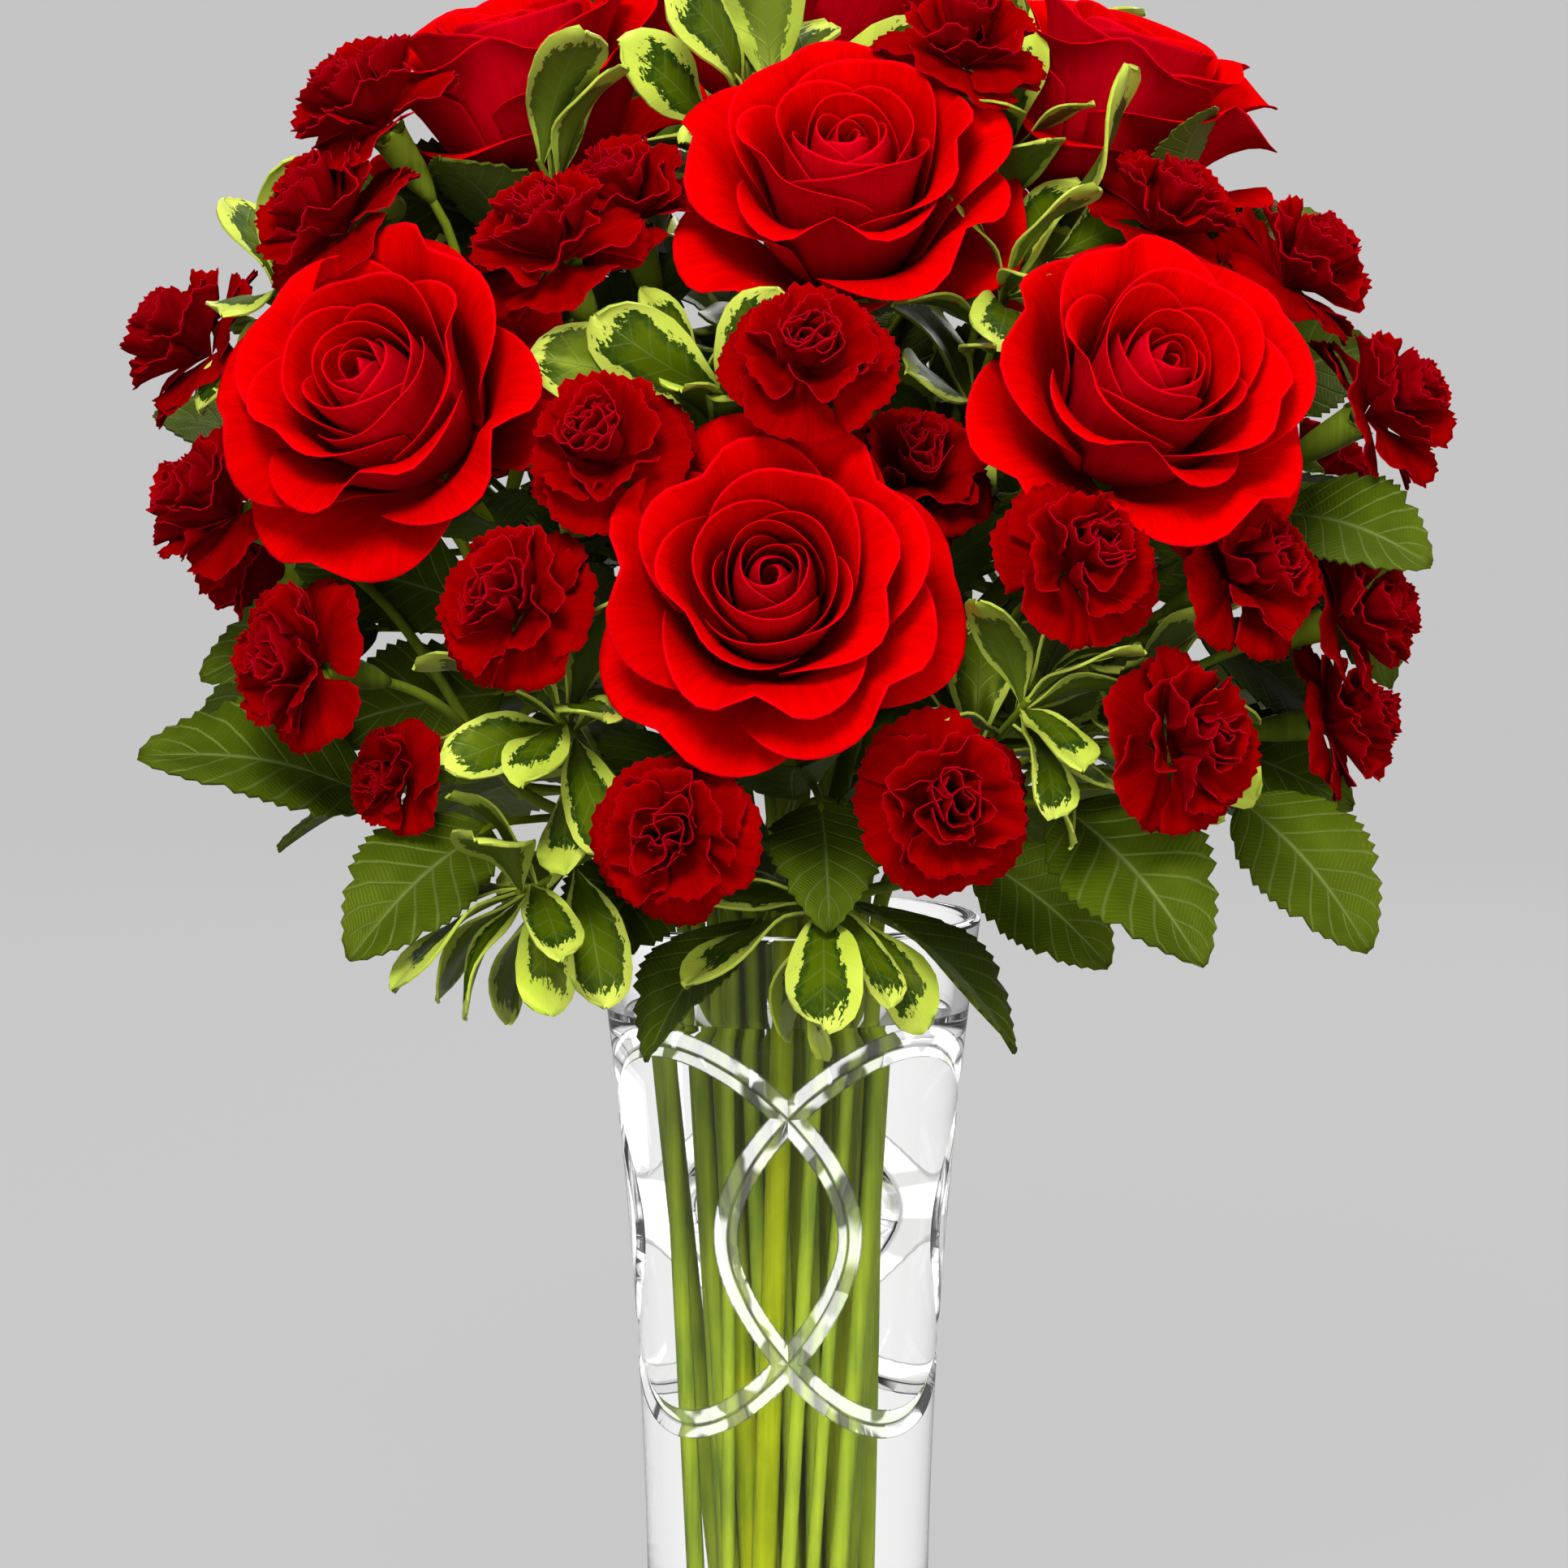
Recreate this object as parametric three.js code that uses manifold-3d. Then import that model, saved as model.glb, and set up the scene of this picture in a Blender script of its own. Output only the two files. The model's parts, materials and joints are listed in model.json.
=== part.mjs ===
// A bouquet in a cut-glass vase: nine long-stemmed roses with their leaves, nine sprays of small
// carnations and seven branches of pittosporum, standing in water.
// Millimetres, +Z up, origin at the centre of the vase's underside, front towards -Y.

import * as THREE from 'three';
import Module from 'manifold-3d';

const wasm = await Module();
wasm.setup();
const { Manifold } = wasm;

// ---------------------------------------------------------------- driving dimensions

const CLEARANCE = 0.3;              // gap between pieces that rest on each other
const BLADE = 0.7;                  // thickness of a petal
const LEAF_RIB = 1.4;               // thickness of a rose leaf at its rib
const SMALL_LEAF_RIB = 1.2;
const LEAF_ROOT = 0.5;
const GOLDEN = THREE.MathUtils.degToRad(137.508);
const TAU = 2 * Math.PI;
const UP = new THREE.Vector3(0, 0, 1);

const VASE_HEIGHT = 201;
const VASE_FOOT_RADIUS = 36.4;
const VASE_FLARE = 13.6;            // how much wider the mouth is than the foot
const VASE_SEGMENTS = 24;
const FLOOR_HEIGHT = 18;            // thick glass bottom
const WALL_FOOT = 5.4;
const WALL_RIM = 4.0;
const WATER_LEVEL = 176;

const OVAL_COUNT = 4;               // interlaced ovals cut round the vase
const OVAL_MIDDLE = 121.5;
const OVAL_HALF_HEIGHT = 49.5;
const OVAL_HALF_ANGLE = THREE.MathUtils.degToRad(67.5);
const GROOVE_WIDTH = 7.4;
const GROOVE_DEPTH = 1.4;
const GROOVE_STATIONS = 20;
const GROOVE_LIFT = 2.5;            // how far the cutter stands out of the glass

const STEM_SIDES = 5;
const TWIG_SIDES = 4;

// Where stems stand: radius and angle drift from the vase's floor to its mouth, for three rings.
const RINGS = {
  outer: { foot: 18, mouth: 29, twist: 18 },
  middle: { foot: 11.5, mouth: 19.5, twist: -15 },
  inner: { foot: 5, mouth: 9.5, twist: 10 },
};
const MOUTH_HEIGHT = 200;

// Roses: the centre of the open face, the way it looks, and its stem's place in the vase.
// A leaf is [height on the stem 0..1, foot of the blade, tip of the blade, width, roll].
const ROSE_DEPTH = 47;              // from the stem to the face of the bloom
const ROSES = [
  { face: [-4, -140, 299], look: [-0.02, -0.93, 0.36], ring: 'outer', angle: -91, stem: 5.6,
    leaves: [[0.12, [-7, -70, 208], [-35, -88, 175], 38, 0], [0.18, [16, -72, 212], [56, -86, 177], 34, 0],
      [0.35, [-26, -60, 250], [-52, -84, 238], 32, -20]] },
  { face: [-104, -105, 346], look: [-0.38, -0.80, 0.46], ring: 'middle', angle: -140, stem: 5.6,
    leaves: [[0.3, [-104, -60, 238], [-160, -80, 250], 38, -45],
      [0.15, [-74, -80, 232], [-111, -104, 209], 36, -35], [0.3, [-50, -44, 266], [-76, -74, 252], 34, -30],
      [0.45, [-104, -36, 278], [-148, -42, 266], 32, -45]] },
  { face: [92, -105, 348], look: [0.30, -0.78, 0.55], ring: 'middle', angle: -48, stem: 5.6,
    leaves: [[0.15, [68, -80, 237], [101, -108, 201], 42, 30],
      [0.3, [114, -55, 236], [158, -78, 236], 36, 40], [0.3, [60, -52, 254], [79, -78, 293], 28, 0], [0.4, [104, -30, 276], [146, -40, 262], 32, 40]] },
  { face: [15, -80, 401], look: [0, -0.68, 0.73], ring: 'inner', angle: -80, stem: 5.6,
    leaves: [[0.2, [8, -84, 238], [10, -112, 210], 30, 0], [0.5, [26, -48, 306], [52, -72, 312], 30, 20],
      [0.6, [-14, -56, 340], [-40, -84, 354], 30, -20]] },
  { face: [-70, -20, 428], look: [-0.22, -0.15, 0.96], ring: 'inner', angle: -155, stem: 5.6,
    leaves: [[0.75, [-66, -38, 370], [-92, -62, 400], 34, 0], [0.45, [-118, 6, 312], [-164, 8, 330], 36, -30],
      [0.6, [-98, -14, 346], [-146, -22, 372], 34, -30]] },
  { face: [88, -15, 424], look: [0.32, -0.12, 0.94], ring: 'inner', angle: -10, stem: 5.6,
    leaves: [[0.75, [98, -6, 362], [132, -12, 388], 36, 30], [0.5, [124, -46, 308], [160, -66, 318], 34, 40],
      [0.45, [132, -18, 300], [167, -40, 284], 30, 40], [0.85, [98, -40, 388], [124, -58, 406], 28, 30]] },
  { face: [0, 45, 450], look: [0.05, 0.35, 0.93], ring: 'inner', angle: 90, stem: 5.6,
    leaves: [[0.45, [6, 84, 330], [8, 124, 350], 38, 0], [0.6, [-32, 92, 350], [-70, 120, 338], 36, 20],
      [0.6, [32, 84, 368], [74, 112, 356], 36, -20], [0.3, [2, 66, 262], [-26, 108, 252], 34, 20]] },
  { face: [-95, 90, 345], look: [-0.55, 0.65, 0.50], ring: 'middle', angle: 137, stem: 5.6,
    leaves: [[0.25, [-70, 62, 226], [-104, 92, 212], 38, 30], [0.3, [-24, 80, 250], [-34, 124, 250], 38, 0],
      [0.3, [-104, 26, 258], [-156, 34, 246], 38, 30], [0.15, [-84, 6, 234], [-132, 0, 218], 36, 0]] },
  { face: [95, 95, 335], look: [0.55, 0.65, 0.50], ring: 'middle', angle: 45, stem: 5.6,
    leaves: [[0.25, [66, 66, 226], [98, 98, 208], 38, -30], [0.3, [36, 84, 238], [46, 128, 232], 38, 0],
      [0.3, [104, 26, 258], [156, 34, 244], 38, -30], [0.15, [82, 4, 234], [130, -2, 218], 36, 0]] },
];

// Carnation sprays: place in the vase, the fork, and the blooms [x, y, z, radius] that it holds.
const SPRAYS = [
  { ring: 'middle', angle: -170, fork: [-80, -44, 296], stem: 3.8,
    blooms: [[-107, -66, 415, 23], [-117, -75, 388, 23], [-156, -40, 355, 23]] },
  { ring: 'outer', angle: -158, fork: [-70, -44, 240], stem: 3.8,
    blooms: [[-148, -70, 314, 23], [-124, -105, 277, 22], [-100, -92, 246, 15], [-69, -130, 293, 22]] },
  { ring: 'middle', angle: -119, fork: [-30, -56, 280], stem: 3.6,
    blooms: [[-60, -95, 382, 23], [-42, -68, 392, 23], [-46, -126, 331, 22]] },
  { ring: 'middle', angle: -76, fork: [14, -58, 268], stem: 3.4,
    blooms: [[5, -135, 354, 22], [33, -93, 325, 21]] },
  { ring: 'outer', angle: -74, fork: [6, -62, 218], stem: 3.4,
    blooms: [[40, -135, 243, 23], [-29, -140, 235, 21]] },
  { ring: 'outer', angle: -38, fork: [60, -40, 240], stem: 4,
    blooms: [[74, -127, 303, 22], [118, -95, 298, 22], [149, -55, 285, 22], [146, -50, 257, 21],
      [101, -115, 257, 23]] },
  { ring: 'middle', angle: 8, fork: [72, -12, 312], stem: 4,
    blooms: [[97, -68, 388, 21], [133, -50, 374, 23], [156, -45, 339, 23], [46, -60, 431, 22]] },
  { ring: 'outer', angle: 145, fork: [-60, 52, 248], stem: 4,
    blooms: [[-148, 40, 318, 23], [-146, 68, 290, 22], [-55, 118, 392, 23], [-22, 138, 322, 23]] },
  { ring: 'outer', angle: 62, fork: [40, 56, 248], stem: 4,
    blooms: [[146, 38, 312, 23], [140, 70, 288, 22], [52, 120, 385, 23], [12, 142, 296, 22]] },
];
// Blooms that press into each other, as spray.bloom, share a node.
const TOUCHING = [['1.1', '1.2'], ['3.1', '3.2'], ['7.2', '7.3'], ['6.3', '6.4'], ['8.1', '8.2'],
  ['8.4', '9.4'], ['9.1', '9.2']];
const BLOOM_HEIGHT = 14;            // from the calyx to the middle of a carnation's head

// Pittosporum: place in the vase, and each twig's end, the way it points and its number of leaves.
const BRANCHES = [
  { ring: 'inner', angle: 146, stem: 3.4, fork: [-20, -8, 320],
    twigs: [[[-8, -40, 406], [0, -0.35, 0.94], 9], [[-62, -54, 396], [-0.3, -0.5, 0.8], 6]] },
  { ring: 'middle', angle: -98, stem: 3, fork: null,
    twigs: [[[-20, -92, 338], [-0.1, -0.35, 0.93], 9]] },
  { ring: 'middle', angle: -18, stem: 3.4, fork: [36, -30, 300],
    twigs: [[[54, -72, 368], [0.1, -0.45, 0.88], 8], [[56, -46, 402], [0.15, -0.25, 0.95], 7]] },
  { ring: 'middle', angle: 165, stem: 3, fork: null,
    twigs: [[[-128, -48, 360], [-0.7, -0.3, 0.6], 8]] },
  { ring: 'outer', angle: -118, stem: 3, fork: [-34, -54, 220],
    twigs: [[[-56, -104, 262], [-0.3, -0.8, 0.5], 8], [[-66, -98, 218], [-0.5, -0.8, 0], 5]] },
  { ring: 'outer', angle: -57, stem: 3, fork: [34, -58, 222],
    twigs: [[[58, -108, 266], [0.3, -0.8, 0.5], 7], [[8, -96, 212], [0, -0.95, -0.2], 4],
      [[88, -72, 262], [0.7, -0.6, 0.4], 6]] },
  { ring: 'outer', angle: 100, stem: 3.2, fork: [-4, 60, 270],
    twigs: [[[-52, 82, 420], [-0.3, 0.4, 0.85], 9], [[62, 84, 418], [0.4, 0.4, 0.82], 9]] },
];

// ---------------------------------------------------------------- small helpers

const vec = (p) => (Array.isArray(p) ? new THREE.Vector3(...p) : p.clone());
const mix = (a, b, t) => a + (b - a) * t;
const radians = THREE.MathUtils.degToRad;

function ease(x, low, high) {
  const t = Math.min(Math.max((x - low) / (high - low), 0), 1);
  return t * t * (3 - 2 * t);
}

function between(steps, values, t) {
  let i = 1;
  while (i < steps.length - 1 && t > steps[i]) i += 1;
  return mix(values[i - 1], values[i], (t - steps[i - 1]) / (steps[i] - steps[i - 1]));
}

function chance(seed, n) {
  const x = Math.sin(seed * 12.9898 + n * 78.233) * 43758.5453;
  return x - Math.floor(x);
}

// ---------------------------------------------------------------- closed solids

function solid(points, faces) {
  const vertProperties = new Float32Array(points.flatMap((p) => [p.x, p.y, p.z]));
  const triVerts = new Uint32Array(faces.flat());
  const made = new Manifold(new wasm.Mesh({ numProp: 3, vertProperties, triVerts }));
  if (made.volume() > 0) return made;
  const turned = new Uint32Array(faces.flatMap(([a, b, c]) => [a, c, b]));
  return new Manifold(new wasm.Mesh({ numProp: 3, vertProperties, triVerts: turned }));
}

// One body: the union's largest shell, with scraps dropped and sealed hollows filled. Triangles
// that share an edge are of one shell.
function joined(solids) {
  const { vertProperties, triVerts } = Manifold.union(solids).simplify(0.02).getMesh();
  const count = triVerts.length / 3;
  const root = Array.from({ length: count }, (_, i) => i);
  const find = (i) => {
    while (root[i] !== i) i = root[i] = root[root[i]];
    return i;
  };
  const edges = new Map();
  for (let t = 0; t < count; t += 1) {
    for (let k = 0; k < 3; k += 1) {
      const [a, b] = [triVerts[3 * t + k], triVerts[3 * t + (k + 1) % 3]];
      const key = a < b ? `${a} ${b}` : `${b} ${a}`;
      if (edges.has(key)) root[find(t)] = find(edges.get(key));
      else edges.set(key, t);
    }
  }
  const shells = new Map();
  for (let t = 0; t < count; t += 1) {
    if (!shells.has(find(t))) shells.set(find(t), []);
    shells.get(find(t)).push(...triVerts.slice(3 * t, 3 * t + 3));
  }
  const bodies = [...shells.values()].map((verts) => new Manifold(
    new wasm.Mesh({ numProp: 3, vertProperties, triVerts: new Uint32Array(verts) })));
  return bodies.sort((a, b) => b.volume() - a.volume())[0];
}

// A skin over rings of equal length; open ends are closed by a point or by a strip that zigzags
// from side 0, as suits the long thin section of a blade. From side `mirrored` on, the quads are
// split along their other diagonal.
function skin(rings, startPole, endPole, loop = false, mirrored = Infinity) {
  const count = rings[0].length;
  const points = rings.flat();
  const faces = [];
  const bands = loop ? rings.length : rings.length - 1;
  for (let i = 0; i < bands; i += 1) {
    const low = i * count;
    const high = ((i + 1) % rings.length) * count;
    for (let j = 0; j < count; j += 1) {
      const k = (j + 1) % count;
      if (j < mirrored) faces.push([low + j, low + k, high + k], [low + j, high + k, high + j]);
      else faces.push([low + j, low + k, high + j], [low + k, high + k, high + j]);
    }
  }
  if (loop) return solid(points, faces);
  const last = (rings.length - 1) * count;
  const face = (turn, a, b, c) => faces.push(turn ? [a, c, b] : [a, b, c]);
  const cap = (pole, first, turn) => {
    const tip = pole ? points.push(pole) - 1 : null;
    if (pole) {
      for (let j = 0; j < count; j += 1) face(turn, tip, first + j, first + (j + 1) % count);
      return;
    }
    for (let j = 0; j + 1 < count - j; j += 1) {
      const [low, high] = [first + count - j - 1, first + (count - j) % count];
      if (first + j + 1 !== low) face(turn, first + j, first + j + 1, low);
      if (j > 0) face(turn, first + j, low, high);
    }
  };
  cap(startPole, 0, true);
  cap(endPole, last, false);
  return solid(points, faces);
}

function tube(path, radii, sides) {
  const rings = [];
  let side = new THREE.Vector3(1, 0, 0);
  path.forEach((p, i) => {
    const ahead = vec(path[Math.min(i + 1, path.length - 1)]);
    const along = ahead.sub(path[Math.max(i - 1, 0)]).normalize();
    side = side.addScaledVector(along, -side.dot(along)).normalize();
    const other = new THREE.Vector3().crossVectors(along, side);
    const ring = [];
    for (let j = 0; j < sides; j += 1) {
      const turn = TAU * j / sides;
      ring.push(vec(p).addScaledVector(side, radii[i] * Math.cos(turn))
        .addScaledVector(other, radii[i] * Math.sin(turn)));
    }
    rings.push(ring);
    side = side.clone();
  });
  return skin(rings, null, null);
}

function lathe(profile, segments) {
  const rings = profile.filter(([r]) => r > 0).map(([r, z]) => Array.from({ length: segments },
    (_, j) => new THREE.Vector3(r * Math.cos(TAU * j / segments), r * Math.sin(TAU * j / segments), z)));
  const pole = ([r, z]) => (r > 0 ? null : new THREE.Vector3(0, 0, z));
  return skin(rings, pole(profile[0]), pole(profile.at(-1)));
}

// A thin closed sheet over a grid of points, full thickness inside and drawn to an edge at its sides.
// Its two faces are split alike, so that they never pass through each other.
function lens(grid, thickness = BLADE, rootThickness = thickness) {
  const rings = grid.map((row, i) => {
    const half = (i === 0 ? rootThickness : thickness) / 2;
    const before = grid[Math.max(i - 1, 0)];
    const after = grid[Math.min(i + 1, grid.length - 1)];
    const inner = row.slice(1, -1).map((p, m) => {
      const j = m + 1;
      const normal = vec(after[j]).sub(before[j]).cross(vec(row[j + 1]).sub(row[j - 1])).normalize();
      return [vec(p).addScaledVector(normal, half), vec(p).addScaledVector(normal, -half)];
    });
    return [row[0], ...inner.map(([front]) => front), row.at(-1), ...inner.map(([, back]) => back).reverse()];
  });
  return skin(rings, null, null, false, grid[0].length - 1);
}

// ---------------------------------------------------------------- placing pieces

const bouquet = new THREE.Group();
const placed = [];                  // every solid so far, in the bouquet's frame

const finish = (color, roughness, extra = {}) => (
  new THREE.MeshStandardMaterial({ color, roughness, ...extra }));
const glass = finish(0xe8eeee, 0.03, { transparent: true, opacity: 0.35 });
const waterFinish = finish(0xdfeaea, 0.05, { transparent: true, opacity: 0.4 });
const redPetal = finish(0xc40006, 0.55);
const darkPetal = finish(0x9d0008, 0.6);
const greenLeaf = finish(0x3e5420, 0.5);
const paleLeaf = finish(0x9aa860, 0.45);

function place(name, body, material, position = new THREE.Vector3(), quaternion = new THREE.Quaternion()) {
  const { vertProperties, triVerts } = body.getMesh();
  const geometry = new THREE.BufferGeometry();
  geometry.setAttribute('position', new THREE.BufferAttribute(vertProperties, 3));
  geometry.setIndex(new THREE.BufferAttribute(triVerts, 1));
  const mesh = new THREE.Mesh(geometry, material);
  mesh.name = name;
  mesh.position.copy(position);
  mesh.quaternion.copy(quaternion);
  bouquet.add(mesh);
  placed.push(turned(body, position, quaternion));
}

function turned(body, position, quaternion) {
  const matrix = new THREE.Matrix4().compose(position, quaternion, new THREE.Vector3(1, 1, 1));
  return body.transform([...matrix.elements]);
}

function boxesMeet(a, b, margin) {
  const [p, q] = [a.boundingBox(), b.boundingBox()];
  return [0, 1, 2].every((i) => p.min[i] < q.max[i] + margin && q.min[i] < p.max[i] + margin);
}

function isClear(body, others) {
  return others.every((other) => !boxesMeet(body, other, CLEARANCE)
    || body.minGap(other, CLEARANCE * 1.5) > CLEARANCE);
}

const STALK_SHIFTS = [0, 0.07, -0.07, 0.14, 0.21];

// Small turns (lift, swing) in degrees that a leaf tries in order until it lies clear.
const BENDS = [[0, 0]];
for (const reach of [10, 20, 32, 46]) {
  for (const eighth of [0, 4, 2, 6, 1, 3, 7, 5]) {
    const turn = TAU * eighth / 8;
    BENDS.push([reach * Math.cos(turn), reach * Math.sin(turn)]);
  }
}

function bent(foot, tip, [lift, swing]) {
  const reach = vec(tip).sub(foot);
  const across = new THREE.Vector3(-reach.y, reach.x, 0).normalize();
  const upward = new THREE.Vector3().crossVectors(reach, across).normalize();
  reach.applyAxisAngle(across, radians(lift)).applyAxisAngle(upward, radians(swing));
  return reach.add(foot);
}

// ---------------------------------------------------------------- vase and water

const outerRadius = (z) => VASE_FOOT_RADIUS + VASE_FLARE * (z / VASE_HEIGHT) ** 2;
const innerRadius = (z) => outerRadius(z) - mix(WALL_FOOT, WALL_RIM, z / VASE_HEIGHT);

function onOval(oval, s, lift) {
  const z = OVAL_MIDDLE + OVAL_HALF_HEIGHT * Math.cos(s);
  const azimuth = TAU * (oval + 0.5) / OVAL_COUNT + Math.asin(Math.sin(OVAL_HALF_ANGLE) * Math.sin(s));
  const r = outerRadius(z) + lift;
  return new THREE.Vector3(r * Math.cos(azimuth), r * Math.sin(azimuth), z);
}

// A V-shaped cutter that runs round one oval.
function groove(oval) {
  const rings = [];
  const spread = 1 + GROOVE_LIFT / GROOVE_DEPTH;
  for (let i = 0; i < GROOVE_STATIONS; i += 1) {
    const s = TAU * i / GROOVE_STATIONS;
    const along = onOval(oval, s + 0.01, 0).sub(onOval(oval, s - 0.01, 0));
    const outward = onOval(oval, s, 1).sub(onOval(oval, s, 0));
    const across = along.cross(outward).normalize().multiplyScalar(spread * GROOVE_WIDTH / 2);
    const top = onOval(oval, s, GROOVE_LIFT);
    rings.push([onOval(oval, s, -GROOVE_DEPTH), vec(top).add(across), vec(top).sub(across)]);
  }
  return skin(rings, null, null, true);
}

function vase() {
  const wall = [70, 135, 198].map((z) => [outerRadius(z), z]);
  const inside = [197, 110, 24].map((z) => [innerRadius(z), z]);
  const profile = [
    [0, 0], [VASE_FOOT_RADIUS - 2, 0], [outerRadius(2), 2], ...wall,
    [outerRadius(VASE_HEIGHT) - 1, VASE_HEIGHT], [innerRadius(VASE_HEIGHT) + 1, VASE_HEIGHT],
    ...inside, [innerRadius(FLOOR_HEIGHT) - 4, FLOOR_HEIGHT], [0, FLOOR_HEIGHT],
  ];
  let body = lathe(profile, VASE_SEGMENTS);
  for (let oval = 0; oval < OVAL_COUNT; oval += 1) body = body.subtract(groove(oval));
  return joined([body]);
}

function water(holes) {
  const inside = [WATER_LEVEL, 110, 24].map((z) => [innerRadius(z) - 2.5 * CLEARANCE, z]);
  const low = FLOOR_HEIGHT + CLEARANCE;
  const profile = [[0, WATER_LEVEL], ...inside, [innerRadius(low) - 5, low], [0, low]];
  return joined([lathe(profile, VASE_SEGMENTS).subtract(Manifold.union(holes))]);
}

// ---------------------------------------------------------------- stems in the vase

const STEM_FOOT = FLOOR_HEIGHT + CLEARANCE;

function standing({ ring, angle }) {
  const { foot, mouth, twist } = RINGS[ring];
  const at = (radius, degrees, z) => new THREE.Vector3(
    radius * Math.cos(radians(degrees)), radius * Math.sin(radians(degrees)), z);
  return [at(foot, angle - twist, STEM_FOOT), at(mouth, angle, MOUTH_HEIGHT)];
}

function reachFrom(start, heading, end, endHeading, steps) {
  const distance = start.distanceTo(end);
  const curve = new THREE.CubicBezierCurve3(start,
    vec(start).addScaledVector(heading, distance * 0.4),
    vec(end).addScaledVector(endHeading, -distance * 0.4), end);
  return Array.from({ length: steps }, (_, i) => curve.getPoint((i + 1) / steps));
}

function stemPath(plant, end, endHeading, steps) {
  const [foot, mouth] = standing(plant);
  const heading = vec(mouth).sub(foot).normalize();
  return [foot, mouth, ...reachFrom(mouth, heading, end, endHeading, steps)];
}

function hole(plant) {
  const [foot, mouth] = standing(plant);
  const past = vec(mouth).sub(foot).normalize().multiplyScalar(2);
  const radius = plant.stem / 2 + CLEARANCE / Math.cos(Math.PI / STEM_SIDES) + 0.05;
  return tube([vec(foot).sub(past), vec(mouth)], [radius, radius], STEM_SIDES);
}

// ---------------------------------------------------------------- roses

const ROSE_SEED = 5;
const ROSE_PETALS = 22;
const MODELLED_PETALS = [15, 17, 18, 19, 20, 21];
const HEART_SIDES = 8;
// Rings of the furled heart, from the stem out and over its rims: radius, height, waviness.
const HEART_RINGS = [[5, 0, 0], [14.5, 15, 0], [19.5, 33, 0], [22.5, 51, 1], [17, 42, 0], [15.5, 52, 1],
  [9, 44, 0], [7, 51, 0.6]];
const OUTER_PETALS = 17;            // petals from here on have a rolled rim of their own
const PETAL_STEP = [0, 0.25, 0.5, 0.75, 0.87, 1];
const PETAL_LENGTH = [43, 47, 55, 59, 55, 46];
const PETAL_BASE = [22, 46, 62, 72, 74, 76];
const PETAL_BELLY = [0, 0, 2, 9, 23, 48];
const PETAL_TIP = [-30, -14, 30, 100, 118, 120];
const PETAL_HALF = [128, 104, 82, 66, 58, 54];
const PETAL_SLICES = 48;

// A point of rose petal k, u from its root to its rim and v from side to side.
function petalPoint(k, seed, u, v) {
  const t = k / (ROSE_PETALS - 1);
  const at = (values) => between(PETAL_STEP, values, t);
  const [a, b, c, d] = [0, 1, 2, 3].map((n) => TAU * chance(seed, 4 * k + n));
  const [base, belly, tip] = [PETAL_BASE, PETAL_BELLY, PETAL_TIP].map((values) => radians(at(values)));
  const point = 1 - 0.62 * Math.exp(-((v / 0.2) ** 2)) * ease(t, 0.3, 0.7);
  const roll = belly + (tip - belly) * point * (1 + 0.18 * Math.sin(v * 2.4 + d));
  const w = u * (1 - 0.24 * Math.abs(v) ** 3);
  let r = 0;
  let z = 0;
  for (let i = 0; i < PETAL_SLICES; i += 1) {
    const s = (i + 0.5) / PETAL_SLICES;
    const lean = belly + (base - belly) * (1 - s) ** 3 + (roll - belly) * s ** 5;
    const share = Math.min(Math.max(w * PETAL_SLICES - i, 0), 1) / PETAL_SLICES;
    r += Math.sin(lean) * share;
    z += Math.cos(lean) * share;
  }
  const wave = Math.sin(v * 3.1 + a) * 0.6 + Math.sin(v * 6.3 + b) * 0.4;
  const radius = mix(1, 5, t) + at(PETAL_LENGTH) * r + ease(w, 0.45, 1) * wave * mix(0.25, 1.7, t)
    - 0.9 * v * ease(w, 0.05, 0.4);
  const height = mix(8, 0, t) + at(PETAL_LENGTH) * z
    + ease(w, 0.5, 1) * Math.sin(v * 3.6 + c) * mix(0.3, 1.4, t);
  const turn = k * GOLDEN + radians(at(PETAL_HALF)) * v * (0.3 + 0.7 * ease(u, 0, 0.4));
  return new THREE.Vector3(radius * Math.cos(turn), radius * Math.sin(turn), height);
}

function rosePetal(k, seed) {
  const rows = k < OUTER_PETALS ? [0.06, 0.5, 1] : [0.06, 0.45, 0.82, 1];
  return lens(rows.map((u) => [-1, -0.35, 0.35, 1].map((v) => petalPoint(k, seed, u, v))));
}

// The furled heart: three rolled rims, one inside the next, in one skin that narrows to the stem.
function roseHeart(seed) {
  const ring = ([r, z, lobe], level) => Array.from({ length: HEART_SIDES }, (_, j) => {
    const turn = TAU * j / HEART_SIDES;
    const wave = lobe * Math.sin(3 * turn + TAU * chance(seed, 200 + level));
    return new THREE.Vector3((r + wave) * Math.cos(turn), (r + wave) * Math.sin(turn), z + wave);
  });
  return skin(HEART_RINGS.map(ring), null, new THREE.Vector3(0, 0, 44));
}

function roseBloom(seed) {
  return joined([roseHeart(seed), ...MODELLED_PETALS.map((k) => rosePetal(k, seed))]);
}

// The green hip under a rose with its five hanging sepals, along +Z up to the petals at 0.
function roseHip() {
  const sides = 10;
  const ring = (r, z, star = 0, drop = 0) => Array.from({ length: sides }, (_, j) => {
    const turn = TAU * j / sides;
    const tipped = j % 2 === 0 ? 1 : 0;
    return new THREE.Vector3((r + star * tipped) * Math.cos(turn), (r + star * tipped) * Math.sin(turn),
      z - drop * tipped);
  });
  return skin([ring(2.4, -13), ring(5, -5), ring(5.6, -0.9, 18, 5), ring(4.6, -CLEARANCE)], null, null);
}

// ---------------------------------------------------------------- leaves

const LEAF_STATIONS = 6;
const INNER_LEAVES = [0.3, 0.42, 0.54, 0.66, 0.78]; // places on a rose's stem
const INNER_STALK = 13;

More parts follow.
